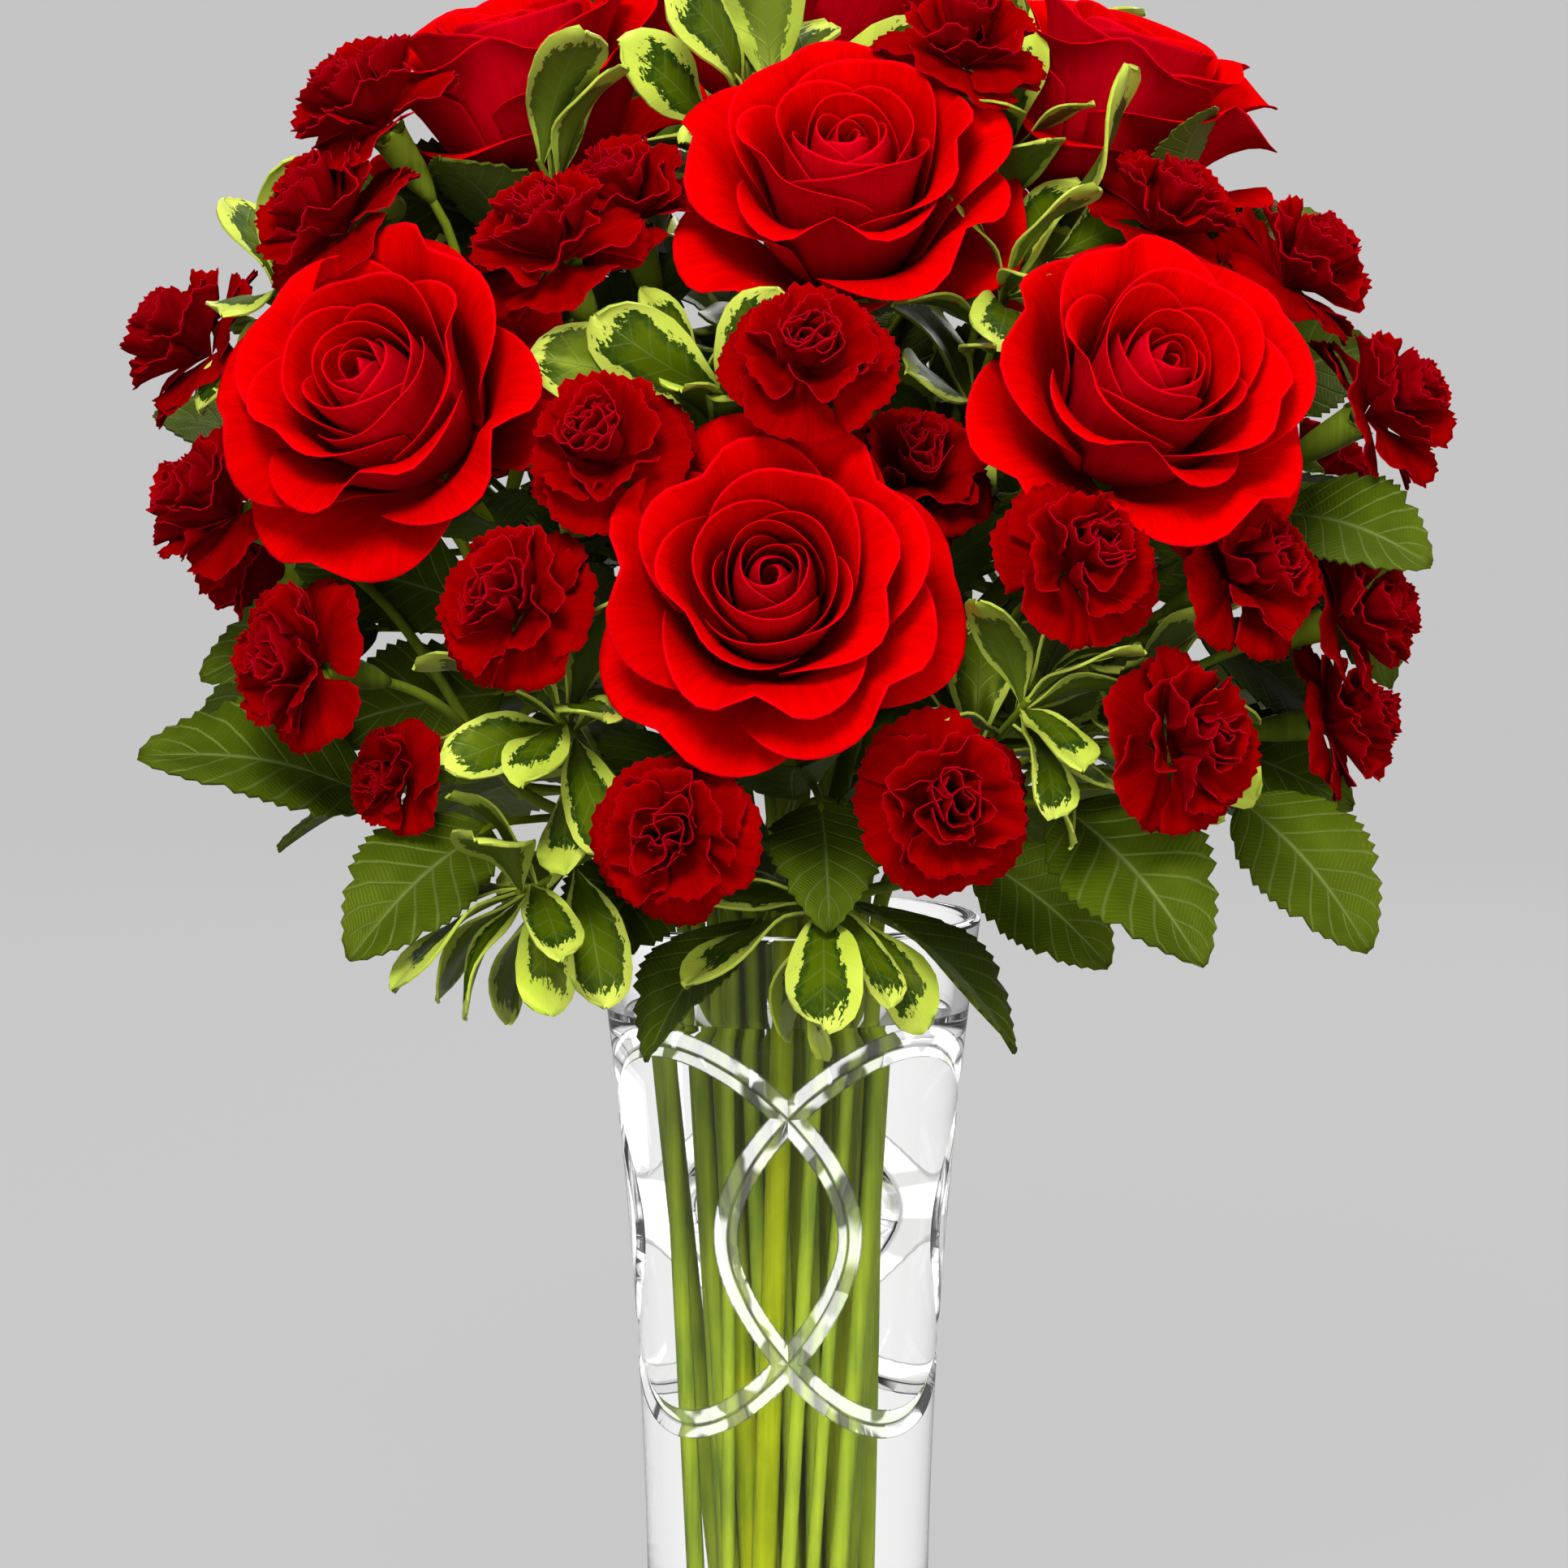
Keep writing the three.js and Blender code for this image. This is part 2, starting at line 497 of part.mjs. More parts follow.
// A rose leaf: pointed oval with toothed edges, folded a little along its rib and arched.
function roseLeaf(foot, tip, width, roll, stalkStart) {
  const reach = vec(tip).sub(foot);
  const length = reach.length();
  const { across, above } = leafSides(reach, roll);
  const grid = [];
  const stalk = (p, half) => grid.push([-1, 0, 1].map((v) => vec(p).addScaledVector(across, v * half)));
  stalk(stalkStart, 0.5);
  stalk(vec(stalkStart).lerp(foot, 0.6).add(new THREE.Vector3(0, 0, 3)), 0.9);
  for (let i = 0; i <= LEAF_STATIONS; i += 1) {
    const t = i / LEAF_STATIONS;
    const half = leafHalfWidth(t, width) * (i % 2 === 1 ? 1 : 0.86);
    const rib = vec(foot).addScaledVector(reach, t)
      .addScaledVector(above, length * 0.1 * Math.sin(Math.PI * t));
    grid.push([-1, 0, 1].map((v) => vec(rib).addScaledVector(across, v * half)
      .addScaledVector(above, Math.abs(v) * half * 0.22)));
  }
  return lens(grid, LEAF_RIB, LEAF_ROOT);
}

// The way across a leaf that reaches out, and the way its upper face looks, turned about the leaf's
// length by so many degrees.
function leafSides(reach, roll = 0) {
  const along = vec(reach).normalize();
  const across = new THREE.Vector3(-along.y, along.x, 0.001).normalize();
  const above = new THREE.Vector3().crossVectors(along, across).normalize();
  if (above.z < 0) above.negate();
  for (const side of [across, above]) side.applyAxisAngle(along, radians(roll));
  return { across, above };
}

const leafHalfWidth = (t, width) => 0.8 + (width / 2 - 0.8) * Math.sin(Math.PI * t ** 0.82) ** 0.85;

// A pittosporum leaf: blunt, widest past the middle, with a wavy edge.
function smallLeaf(foot, tip, width, phase) {
  const reach = vec(tip).sub(foot);
  const length = reach.length();
  const { across, above } = leafSides(reach);
  const rows = [[0, 0.03], [0.42, 0.8], [0.78, 0.95], [1, 0.22]];
  return lens(rows.map(([t, share], i) => [-1, 0, 1].map((v) => {
    const half = share * width / 2;
    const wave = Math.abs(v) * 1.6 * share * Math.sin(phase + 2.2 * i + v);
    return vec(foot).addScaledVector(reach, t).addScaledVector(across, v * half)
      .addScaledVector(above, length * 0.1 * Math.sin(Math.PI * t) + wave + Math.abs(v) * half * 0.12);
  })), SMALL_LEAF_RIB, LEAF_ROOT);
}

// The first bend of a leaf that lies clear of everything else, or nothing.
function clearLeaf(make, foot, tip, others) {
  for (const bend of BENDS) {
    const leaf = make(vec(foot), bent(vec(foot), tip, bend));
    if (isClear(leaf, others)) return leaf;
  }
  return null;
}

// ---------------------------------------------------------------- carnations

const BLOOM_SIDES = 10;
const TIERS = [[1, 0.34], [0.74, 0.56], [0.86, 0.78], [0.5, 0.84], [0.56, 1.12]];

// A carnation's head: three frilled tiers of petals that narrow into the calyx at 0.
function carnation(radius, seed) {
  const ring = (share, height, frill, tier) => Array.from({ length: BLOOM_SIDES }, (_, j) => {
    const turn = TAU * (j + 0.5 * tier) / BLOOM_SIDES;
    const fold = frill * (j % 2 === 0 ? 1 : -1) + frill * (chance(seed, 20 * tier + j) - 0.5);
    const r = radius * share * (1 - 0.35 * Math.max(-fold, 0)) ;
    return new THREE.Vector3(r * Math.cos(turn), r * Math.sin(turn), radius * (height + 0.4 * fold));
  });
  const rings = [ring(0.16, 0, 0, 0)];
  TIERS.forEach(([share, height], tier) => (
    rings.push(ring(share, height, tier % 2 === 0 ? 0.28 : 0.1, tier))));
  return skin(rings, null, new THREE.Vector3(0, 0, radius * 1.02));
}

function bloomFrame([x, y, z, radius]) {
  const centre = new THREE.Vector3(x, y, z);
  const look = new THREE.Vector3(x, y, (z - 250) * 0.9 + 18).normalize();
  const base = vec(centre).addScaledVector(look, -BLOOM_HEIGHT * radius / 23);
  return { base, look, quaternion: new THREE.Quaternion().setFromUnitVectors(UP, look) };
}

// ---------------------------------------------------------------- the bouquet

place('vase', vase(), glass);
place('water', water([...ROSES, ...SPRAYS, ...BRANCHES].map(hole)), waterFinish);

ROSES.forEach((rose, i) => {
  const look = vec(rose.look).normalize();
  rose.base = vec(rose.face).addScaledVector(look, -ROSE_DEPTH);
  rose.quaternion = new THREE.Quaternion().setFromUnitVectors(UP, look);
  place(`rose_${i + 1}`, roseBloom(i + ROSE_SEED), redPetal, rose.base, rose.quaternion);
  rose.path = stemPath(rose, vec(rose.base).addScaledVector(look, -12), look, 5);
});

let head = 0;
const partner = (key) => TOUCHING.find((pair) => pair[0] === key)?.[1];
const isSecond = (key) => TOUCHING.some((pair) => pair[1] === key);
SPRAYS.forEach((spray, i) => spray.blooms.forEach((bloom, j) => {
  const key = `${i + 1}.${j + 1}`;
  if (isSecond(key)) return;
  head += 1;
  const frame = bloomFrame(bloom);
  const solids = [carnation(bloom[3], 10 * i + j)];
  if (partner(key)) {
    const [m, n] = partner(key).split('.').map((x) => Number(x) - 1);
    const second = bloomFrame(SPRAYS[m].blooms[n]);
    const back = vec(second.base).sub(frame.base).applyQuaternion(frame.quaternion.clone().invert());
    const turn = frame.quaternion.clone().invert().multiply(second.quaternion);
    solids.push(turned(carnation(SPRAYS[m].blooms[n][3], 10 * m + n), back, turn));
  }
  place(`carnation_${head}`, joined(solids), darkPetal, frame.base, frame.quaternion);
}));

function roseStem(rose) {
  const radii = rose.path.map(() => rose.stem / 2);
  return [tube(rose.path, radii, STEM_SIDES), turned(roseHip(), rose.base, rose.quaternion)];
}

// A spray: its stem up to the fork and a stalk that swells into the calyx of each bloom.
function sprayStem(spray) {
  const fork = vec(spray.fork);
  const frames = spray.blooms.map(bloomFrame);
  const aim = frames.reduce((sum, { base }) => sum.add(base), new THREE.Vector3())
    .divideScalar(frames.length).sub(fork).normalize();
  const trunk = stemPath(spray, fork, aim, 3);
  const solids = [];
  frames.forEach(({ base, look }, i) => {
    const size = spray.blooms[i][3] / 23;
    const calyx = vec(base).addScaledVector(look, -22 * size);
    const stalk = reachFrom(fork, aim, calyx, look, 3);
    const rim = vec(base).addScaledVector(look, -CLEARANCE);
    const swell = vec(base).addScaledVector(look, -17 * size);
    const ends = [1.2, 3.4 * size, 5 * size];
    if (i === 0) {
      const line = [...trunk, ...stalk, swell, rim];
      const radii = [...trunk.map(() => spray.stem / 2), 1.5, 1.2, ...ends];
      solids.push(tube(line, radii, STEM_SIDES));
    } else {
      const line = [vec(fork).addScaledVector(aim, -3), ...stalk, swell, rim];
      solids.push(tube(line, [0.7, 1.2, 1.2, ...ends], TWIG_SIDES));
    }
  });
  return solids;
}

function branchStem(branch) {
  const [end, heading] = branch.twigs[0];
  const solids = [];
  branch.lines = [];
  if (branch.fork) {
    const fork = vec(branch.fork);
    const aim = vec(end).sub(fork).normalize().add(new THREE.Vector3(0, 0, 0.4)).normalize();
    const path = stemPath(branch, fork, aim, 3);
    solids.push(tube(path, path.map(() => branch.stem / 2), STEM_SIDES));
    branch.twigs.forEach(([tip, look]) => {
      const twig = reachFrom(fork, aim, vec(tip), vec(look).normalize(), 4);
      const line = [vec(fork).addScaledVector(aim, -2), ...twig];
      solids.push(tube(line, line.map((_, i) => mix(1.4, 1.2, i / (line.length - 1))), TWIG_SIDES - 1));
      branch.lines.push(line);
    });
  } else {
    const path = stemPath(branch, vec(end), vec(heading).normalize(), 6);
    solids.push(tube(path, path.map((_, i) => mix(branch.stem / 2, 1.2, i / (path.length - 1))), STEM_SIDES));
    branch.lines.push(path.slice(1));
  }
  return solids;
}

const stemsOf = (plants, kind, make, colour) => plants.map((plant, i) => (
  { name: `${kind}_${i + 1}`, plant, solids: make(plant), colour }));
const stems = [
  ...stemsOf(ROSES, 'rose_stem', roseStem, greenLeaf),
  ...stemsOf(SPRAYS, 'carnation_stem', sprayStem, greenLeaf),
  ...stemsOf(BRANCHES, 'pittosporum', branchStem, paleLeaf),
];

// Leaves that spiral round a rose's stem inside the bouquet, listed as in ROSES.
function innerLeaves(curve, seed) {
  return INNER_LEAVES.map((share, n) => {
    const turn = n * GOLDEN + seed;
    const outward = new THREE.Vector3(Math.cos(turn), Math.sin(turn), mix(-0.3, 0.5, chance(seed, n + 40)));
    const foot = curve.getPoint(share).addScaledVector(outward, INNER_STALK);
    const tip = vec(foot).addScaledVector(outward, mix(36, 44, chance(seed, n + 50)));
    return [share - 0.03, foot, tip, mix(28, 34, chance(seed, n + 60)), mix(-40, 40, chance(seed, n + 70))];
  });
}

// A rose's leaves: a stalk from the stem to the foot of each blade.
function roseLeaves(stem, others) {
  const found = [];
  const curve = new THREE.CatmullRomCurve3(stem.plant.path.slice(1));
  const leaves = [...stem.plant.leaves, ...innerLeaves(curve, ROSES.indexOf(stem.plant))];
  leaves.forEach(([share, foot, tip, width, roll]) => {
    let leaf = null;
    for (const shift of STALK_SHIFTS) {
      const start = curve.getPoint(share + shift);
      leaf ??= clearLeaf((a, b) => roseLeaf(a, b, width, roll, start), foot, tip, [...others, ...found]);
    }
    if (leaf) found.push(leaf);
  });
  stem.solids.push(...found);
}

// Pittosporum leaves: a whorl at the end of each twig and singles below it.
function branchLeaves(stem, others) {
  const found = [];
  stem.plant.lines.forEach((line, twig) => {
    const curve = new THREE.CatmullRomCurve3(line);
    const length = curve.getLength();
    const count = stem.plant.twigs[twig][2];
    for (let k = 0; k < count; k += 1) {
      const down = k < 4 ? 1.5 + 2 * k : 8 + 11 * (k - 3);
      const share = Math.max(1 - down / length, 0.05);
      const foot = curve.getPointAt(share);
      const along = curve.getTangentAt(share);
      const side = new THREE.Vector3(-along.y, along.x, 0.01).normalize();
      side.applyAxisAngle(along, k * GOLDEN + twig);
      const open = radians(mix(38, 78, Math.min(k / 6, 1)));
      const reach = vec(along).multiplyScalar(Math.cos(open)).addScaledVector(side, Math.sin(open));
      const size = mix(33, 43, chance(k, twig + 5));
      const make = (a, b) => smallLeaf(a, b, size * 0.46, k);
      const leaf = clearLeaf(make, foot, vec(foot).addScaledVector(reach, size), [...others, ...found]);
      if (leaf) found.push(leaf);
    }
  });
  stem.solids.push(...found);
}

stems.forEach((stem, i) => {
  const neighbours = stems.filter((_, j) => j > i).flatMap(({ solids }) => solids);
  const others = [...placed, ...neighbours];
  if (stem.plant.leaves) roseLeaves(stem, others);
  if (stem.plant.lines) branchLeaves(stem, others);
  place(stem.name, joined(stem.solids), stem.colour);
});

export default bouquet;
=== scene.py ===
"""Roses, small carnations and pittosporum standing in water in a cut-glass vase.

The layout tables hold millimetres, as a florist would note them. Meshes are made in metres.
"""
import json
import math

import bpy
import numpy as np
from mathutils import Matrix, Vector
from mathutils.bvhtree import BVHTree
from mathutils.kdtree import KDTree

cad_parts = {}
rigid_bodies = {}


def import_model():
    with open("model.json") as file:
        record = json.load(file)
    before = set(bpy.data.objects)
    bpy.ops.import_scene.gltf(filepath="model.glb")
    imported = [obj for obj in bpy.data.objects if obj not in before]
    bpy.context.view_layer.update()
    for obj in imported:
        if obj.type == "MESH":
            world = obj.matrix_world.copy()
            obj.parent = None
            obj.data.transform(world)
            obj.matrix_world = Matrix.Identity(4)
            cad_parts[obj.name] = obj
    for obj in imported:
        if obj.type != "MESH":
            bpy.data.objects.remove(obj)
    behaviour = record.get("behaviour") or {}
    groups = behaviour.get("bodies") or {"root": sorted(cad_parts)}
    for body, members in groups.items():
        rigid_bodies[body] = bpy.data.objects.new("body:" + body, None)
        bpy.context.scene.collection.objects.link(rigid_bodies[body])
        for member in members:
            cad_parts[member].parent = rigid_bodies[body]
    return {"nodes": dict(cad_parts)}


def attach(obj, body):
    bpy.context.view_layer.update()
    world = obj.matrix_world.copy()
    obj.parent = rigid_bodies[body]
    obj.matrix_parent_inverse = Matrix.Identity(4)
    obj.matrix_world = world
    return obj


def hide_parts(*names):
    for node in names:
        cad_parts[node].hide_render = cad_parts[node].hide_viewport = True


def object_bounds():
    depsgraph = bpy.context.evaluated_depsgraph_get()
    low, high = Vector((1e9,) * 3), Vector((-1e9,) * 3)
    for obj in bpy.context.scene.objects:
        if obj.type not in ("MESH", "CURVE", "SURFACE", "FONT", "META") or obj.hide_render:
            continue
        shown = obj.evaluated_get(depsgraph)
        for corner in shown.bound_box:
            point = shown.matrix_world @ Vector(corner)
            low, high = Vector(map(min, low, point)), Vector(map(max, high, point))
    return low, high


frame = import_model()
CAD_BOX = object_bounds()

bl_info = {
    "name": "Roses in a vase",
    "version": (1, 0, 0),
    "blender": (4, 5, 0),
    "location": "3D View > Sidebar > Bouquet",
    "description": "Builds a bouquet of roses, small carnations and pittosporum in a cut-glass vase",
    "category": "Add Mesh",
}

SHELVES = ("carnation_petals", "rose_leaves", "pittosporum_leaves")
MM = 0.001
TAU = 2 * math.pi
GOLDEN = math.radians(137.508)
UP = np.array((0.0, 0.0, 1.0))
SQUEEZE = 0.014                 # depth of what is pressed back into the solids' box

# ---------------------------------------------------------------- vase and water

VASE_HEIGHT = 201
VASE_FOOT_RADIUS = 36.4
VASE_FLARE = 13.6
FLOOR_HEIGHT = 18
WALL_FOOT = 5.4
WALL_RIM = 4.0
WATER_LEVEL = 176
FOOT_EDGE = 2.0             # rounding under the foot
RIM_EDGE = 1.6              # rounding of the mouth
FLOOR_CORNER = 5.0          # rounding where the inner wall meets the glass floor
WATER_OVERLAP = 0.5         # the water reaches this far into the wall, as clear optics need
MENISCUS = 1.2

OVAL_COUNT = 4
OVAL_MIDDLE = 121.5
OVAL_HALF_HEIGHT = 49.5
OVAL_HALF_ANGLE = math.radians(67.5)
GROOVE_WIDTH = 7.4
GROOVE_DEPTH = 1.4
GROOVE_LIFT = 1.0           # how far the cutter stands out of the glass
GROOVE_STATIONS = 128

# ---------------------------------------------------------------- where stems stand

RINGS = {
    "outer": (18, 29, 18),          # radius on the floor, radius at the mouth, twist in degrees
    "middle": (11.5, 19.5, -15),
    "inner": (5, 9.5, 10),
}
MOUTH_HEIGHT = 200
STEM_FOOT = 18.3

# Roses: centre of the open face, the way it looks, place in the vase, and leaves as
# (height on the stem 0..1, foot of the blade, tip of the blade, width, roll in degrees).
ROSE_DEPTH = 47
ROSE_STEM = 5.6
ROSE_SEED = 5
ROSES = [
    ((-4, -140, 299), (-0.02, -0.93, 0.36), "outer", -91,
     [(0.12, (-7, -70, 208), (-35, -88, 175), 38, 0), (0.18, (16, -72, 212), (56, -86, 177), 34, 0),
      (0.35, (-26, -60, 250), (-52, -84, 238), 32, -20)]),
    ((-104, -105, 346), (-0.38, -0.8, 0.46), "middle", -140,
     [(0.3, (-104, -60, 238), (-160, -80, 250), 38, -45),
      (0.15, (-74, -80, 232), (-111, -104, 209), 36, -35),
      (0.3, (-50, -44, 266), (-76, -74, 252), 34, -30),
      (0.45, (-104, -36, 278), (-148, -42, 266), 32, -45)]),
    ((92, -105, 348), (0.3, -0.78, 0.55), "middle", -48,
     [(0.15, (68, -80, 237), (101, -108, 201), 42, 30), (0.3, (114, -55, 236), (158, -78, 236), 36, 40),
      (0.3, (60, -52, 254), (79, -78, 293), 28, 0), (0.4, (104, -30, 276), (146, -40, 262), 32, 40)]),
    ((15, -80, 401), (0, -0.68, 0.73), "inner", -80,
     [(0.2, (8, -84, 238), (10, -112, 210), 30, 0), (0.5, (26, -48, 306), (52, -72, 312), 30, 20),
      (0.6, (-14, -56, 340), (-40, -84, 354), 30, -20)]),
    ((-70, -20, 428), (-0.22, -0.15, 0.96), "inner", -155,
     [(0.75, (-66, -38, 370), (-92, -62, 400), 34, 0), (0.45, (-118, 6, 312), (-164, 8, 330), 36, -30),
      (0.6, (-98, -14, 346), (-146, -22, 372), 34, -30)]),
    ((88, -15, 424), (0.32, -0.12, 0.94), "inner", -10,
     [(0.75, (98, -6, 362), (132, -12, 388), 36, 30), (0.5, (124, -46, 308), (160, -66, 318), 34, 40),
      (0.45, (132, -18, 300), (167, -40, 284), 30, 40), (0.85, (98, -40, 388), (124, -58, 406), 28, 30)]),
    ((0, 45, 450), (0.05, 0.35, 0.93), "inner", 90,
     [(0.45, (6, 84, 330), (8, 124, 350), 38, 0), (0.6, (-32, 92, 350), (-70, 120, 338), 36, 20),
      (0.6, (32, 84, 368), (74, 112, 356), 36, -20), (0.3, (2, 66, 262), (-26, 108, 252), 34, 20)]),
    ((-95, 90, 345), (-0.55, 0.65, 0.5), "middle", 137,
     [(0.25, (-70, 62, 226), (-104, 92, 212), 38, 30), (0.3, (-24, 80, 250), (-34, 124, 250), 38, 0),
      (0.3, (-104, 26, 258), (-156, 34, 246), 38, 30), (0.15, (-84, 6, 234), (-132, 0, 218), 36, 0)]),
    ((95, 95, 335), (0.55, 0.65, 0.5), "middle", 45,
     [(0.25, (66, 66, 226), (98, 98, 208), 38, -30), (0.3, (36, 84, 238), (46, 128, 232), 38, 0),
      (0.3, (104, 26, 258), (156, 34, 244), 38, -30), (0.15, (82, 4, 234), (130, -2, 218), 36, 0)]),
]

# Further leaves of the roses, behind the blooms, listed as above.
BACK_LEAVES = {
    1: [(0.1, (-34, -50, 218), (-52, -78, 196), 32, -30)],
    2: [(0.45, (-72, -40, 262), (-118, -44, 252), 34, -60),
        (0.6, (-80, -36, 284), (-124, -40, 294), 32, -60)],
    3: [(0.3, (100, -28, 250), (146, -32, 240), 30, 60), (0.4, (62, -30, 282), (100, -34, 296), 32, 60)],
    4: [(0.12, (48, -58, 222), (80, -68, 196), 32, 50), (0.7, (14, -10, 322), (42, -8, 354), 30, 60)],
    5: [(0.8, (-72, -10, 378), (-112, -12, 396), 34, -60), (0.7, (-96, -4, 340), (-136, -6, 352), 32, -60)],
    6: [(0.6, (112, -18, 334), (150, -22, 350), 32, 60), (0.5, (96, 0, 308), (138, -2, 316), 34, 60)],
}

# Carnation sprays: place in the vase, fork, stem width and blooms as (x, y, z, radius).
SPRAYS = [
    ("middle", -170, (-80, -44, 296), 3.8,
     [(-107, -66, 415, 23), (-117, -75, 388, 23), (-156, -40, 355, 23)]),
    ("outer", -158, (-70, -44, 240), 3.8,
     [(-148, -70, 314, 23), (-124, -105, 277, 22), (-100, -92, 246, 15), (-69, -130, 293, 22)]),
    ("middle", -119, (-30, -56, 280), 3.6,
     [(-60, -95, 382, 23), (-42, -68, 392, 23), (-46, -126, 331, 22)]),
    ("middle", -76, (14, -58, 268), 3.4,
     [(5, -135, 354, 22), (33, -93, 325, 21)]),
    ("outer", -74, (6, -62, 218), 3.4,
     [(40, -135, 243, 23), (-29, -140, 235, 21)]),
    ("outer", -38, (60, -40, 240), 4,
     [(74, -127, 303, 22), (118, -95, 298, 22), (149, -55, 285, 22), (146, -50, 257, 21),
      (101, -115, 257, 23)]),
    ("middle", 8, (72, -12, 312), 4,
     [(97, -68, 388, 21), (133, -50, 374, 23), (156, -45, 339, 23), (46, -60, 431, 22)]),
    ("outer", 145, (-60, 52, 248), 4,
     [(-148, 40, 318, 23), (-146, 68, 290, 22), (-55, 118, 392, 23), (-22, 138, 322, 23)]),
    ("outer", 62, (40, 56, 248), 4,
     [(146, 38, 312, 23), (140, 70, 288, 22), (52, 120, 385, 23), (12, 142, 296, 22)]),
]
# Blooms that press into each other, as (spray, bloom), make one piece.
TOUCHING = {(1, 1): (1, 2), (3, 1): (3, 2), (7, 2): (7, 3), (6, 3): (6, 4), (8, 1): (8, 2),
            (8, 4): (9, 4), (9, 1): (9, 2)}
BLOOM_HEIGHT = 14
BLOOM_RADIUS = 23           # the radius that calyx sizes are given for

# Pittosporum: place in the vase, fork, stem width and twigs as (end, the way it points, how many
# places for leaves). A branch without a fork is one twig.
BRANCHES = [
    ("inner", 146, (-20, -8, 320), 3.4,
     [((-8, -40, 406), (0, -0.35, 0.94), 9), ((-62, -54, 396), (-0.3, -0.5, 0.8), 6)]),
    ("middle", -98, None, 3,
     [((-20, -92, 338), (-0.1, -0.35, 0.93), 9)]),
    ("middle", -18, (36, -30, 300), 3.4,
     [((54, -72, 368), (0.1, -0.45, 0.88), 8), ((56, -46, 402), (0.15, -0.25, 0.95), 7)]),
    ("middle", 165, None, 3,
     [((-128, -48, 360), (-0.7, -0.3, 0.6), 8)]),
    ("outer", -118, (-34, -54, 220), 3,
     [((-56, -104, 262), (-0.3, -0.8, 0.5), 8), ((-66, -98, 218), (-0.5, -0.8, 0), 5)]),
    ("outer", -57, (34, -58, 222), 3,
     [((58, -108, 266), (0.3, -0.8, 0.5), 7), ((8, -96, 212), (0, -0.95, -0.2), 4),
      ((88, -72, 262), (0.7, -0.6, 0.4), 6)]),
    ("outer", 100, (-4, 60, 270), 3.2,
     [((-52, 82, 420), (-0.3, 0.4, 0.85), 9), ((62, 84, 418), (0.4, 0.4, 0.82), 9)]),
]

# Further large leaves at the tips of the branches: foot, tip and width.
TIP_LEAVES_FACE = (0.0, -0.9, 0.35)
TIP_LEAVES = {
    1: [((-12, -38, 412), (-36, -42, 444), 22), ((-10, -30, 414), (-17, -28, 456), 22),
        ((-4, -34, 412), (6, -34, 450), 22), ((-20, -36, 404), (-46, -42, 426), 20),
        ((2, -28, 410), (26, -26, 444), 20), ((-54, -50, 392), (-60, -60, 424), 24),
        ((-8, -24, 424), (-8, -20, 461), 20)],
    2: [((-14, -92, 338), (-30, -106, 372), 22), ((-16, -96, 336), (-8, -114, 366), 21),
        ((-20, -90, 338), (-60, -100, 354), 21)],
    3: [((64, -58, 380), (61, -64, 426), 23), ((62, -52, 384), (56, -56, 414), 17),
        ((66, -56, 372), (94, -64, 388), 21), ((52, -66, 364), (74, -84, 358), 20)],
}

# ---------------------------------------------------------------- rose petals

ROSE_PETALS = 22
PETAL_STEP = (0, 0.25, 0.5, 0.75, 0.87, 1)
PETAL_LENGTH = (43, 47, 55, 59, 55, 46)
PETAL_BASE = (22, 46, 62, 72, 74, 76)
PETAL_BELLY = (0, 0, 2, 9, 23, 48)
PETAL_TIP = (-30, -14, 30, 100, 118, 120)
PETAL_HALF = (128, 104, 82, 66, 58, 54)
PETAL_SLICES = 48

# ---------------------------------------------------------------- carnation petals

# Three kinds of petal, from the furled heart to the flat outer ones: half angle of the fan,
# bend radius, depth and number of ruffles, outward curl.
CARNATION_KINDS = (
    (33, 0.26, 0.080, 1.3, 0.02),
    (42, 0.70, 0.085, 1.5, 0.10),
    (50, 1.60, 0.045, 1.9, 0.14),
)
CARNATION_VARIANTS = 4
TIER_STEP = 31                  # degrees from one kind of petal to the next
TIER_SPREAD = 13
PETAL_TILTS = (4, 12)           # degrees that petals lean out, drawn for each
PETAL_SPIN = 0.22               # radians either way of their place in the spiral
PETAL_ROLL = 0.16               # radians either way about their own length
PETAL_SIZES = (0.93, 1.02)      # shares of the head's radius
PETAL_GROWTH = 0.02             # by which the outermost are longer
CARNATION_PETALS = 16
CARNATION_THICKNESS = 0.014     # share of the head's radius
CARNATION_ROWS = (0.0, 0.3, 0.55, 0.75, 0.9, 1.0)
CARNATION_COLUMNS = 22
CARNATION_TOOTH = 0.04

# ---------------------------------------------------------------- leaves

STALK_SHIFTS = (0, 0.07, -0.07, 0.14, 0.21)     # other places tried for the root of a stalk
LEAF_BENDS = [(0.0, 0.0)] + [
    (reach * math.cos(TAU * eighth / 8), reach * math.sin(TAU * eighth / 8))
    for reach in (10, 20, 32, 46) for eighth in (0, 4, 2, 6, 1, 3, 7, 5)]
BEND_FIT = 0.0008               # metres: how near a leaf must lie to the solid that it dresses
ROSE_LEAF_STATIONS = 6
INNER_LEAVES = (0.3, 0.42, 0.54, 0.66, 0.78)    # places on a rose's stem
INNER_STALK = 13
FILL_PLACES = (0.2, 0.28, 0.36, 0.44, 0.52, 0.6, 0.68, 0.76, 0.84)      # where there is room
EASED_BENDS = 17                # how many of LEAF_BENDS keep a leaf near its solid
FREE_TURNS = 9
FREE_SIZES = (1.0, 0.75)        # sizes tried for a further leaf
SMALL_LEAF_ROWS = ((0, 0.03), (0.42, 0.8), (0.78, 0.95), (1, 0.22))     # place, share of the width


# ---------------------------------------------------------------- numbers and vectors

def mix(a, b, t):
    return a + (b - a) * t


def ease(x, low, high):
    t = np.clip((x - low) / (high - low), 0, 1)
    return t * t * (3 - 2 * t)


def chance(seed, n):
    x = math.sin(seed * 12.9898 + n * 78.233) * 43758.5453
    return x - math.floor(x)


def point(values):
    return np.array(values, dtype=float)


def unit(vector):
    return point(vector) / np.linalg.norm(vector)


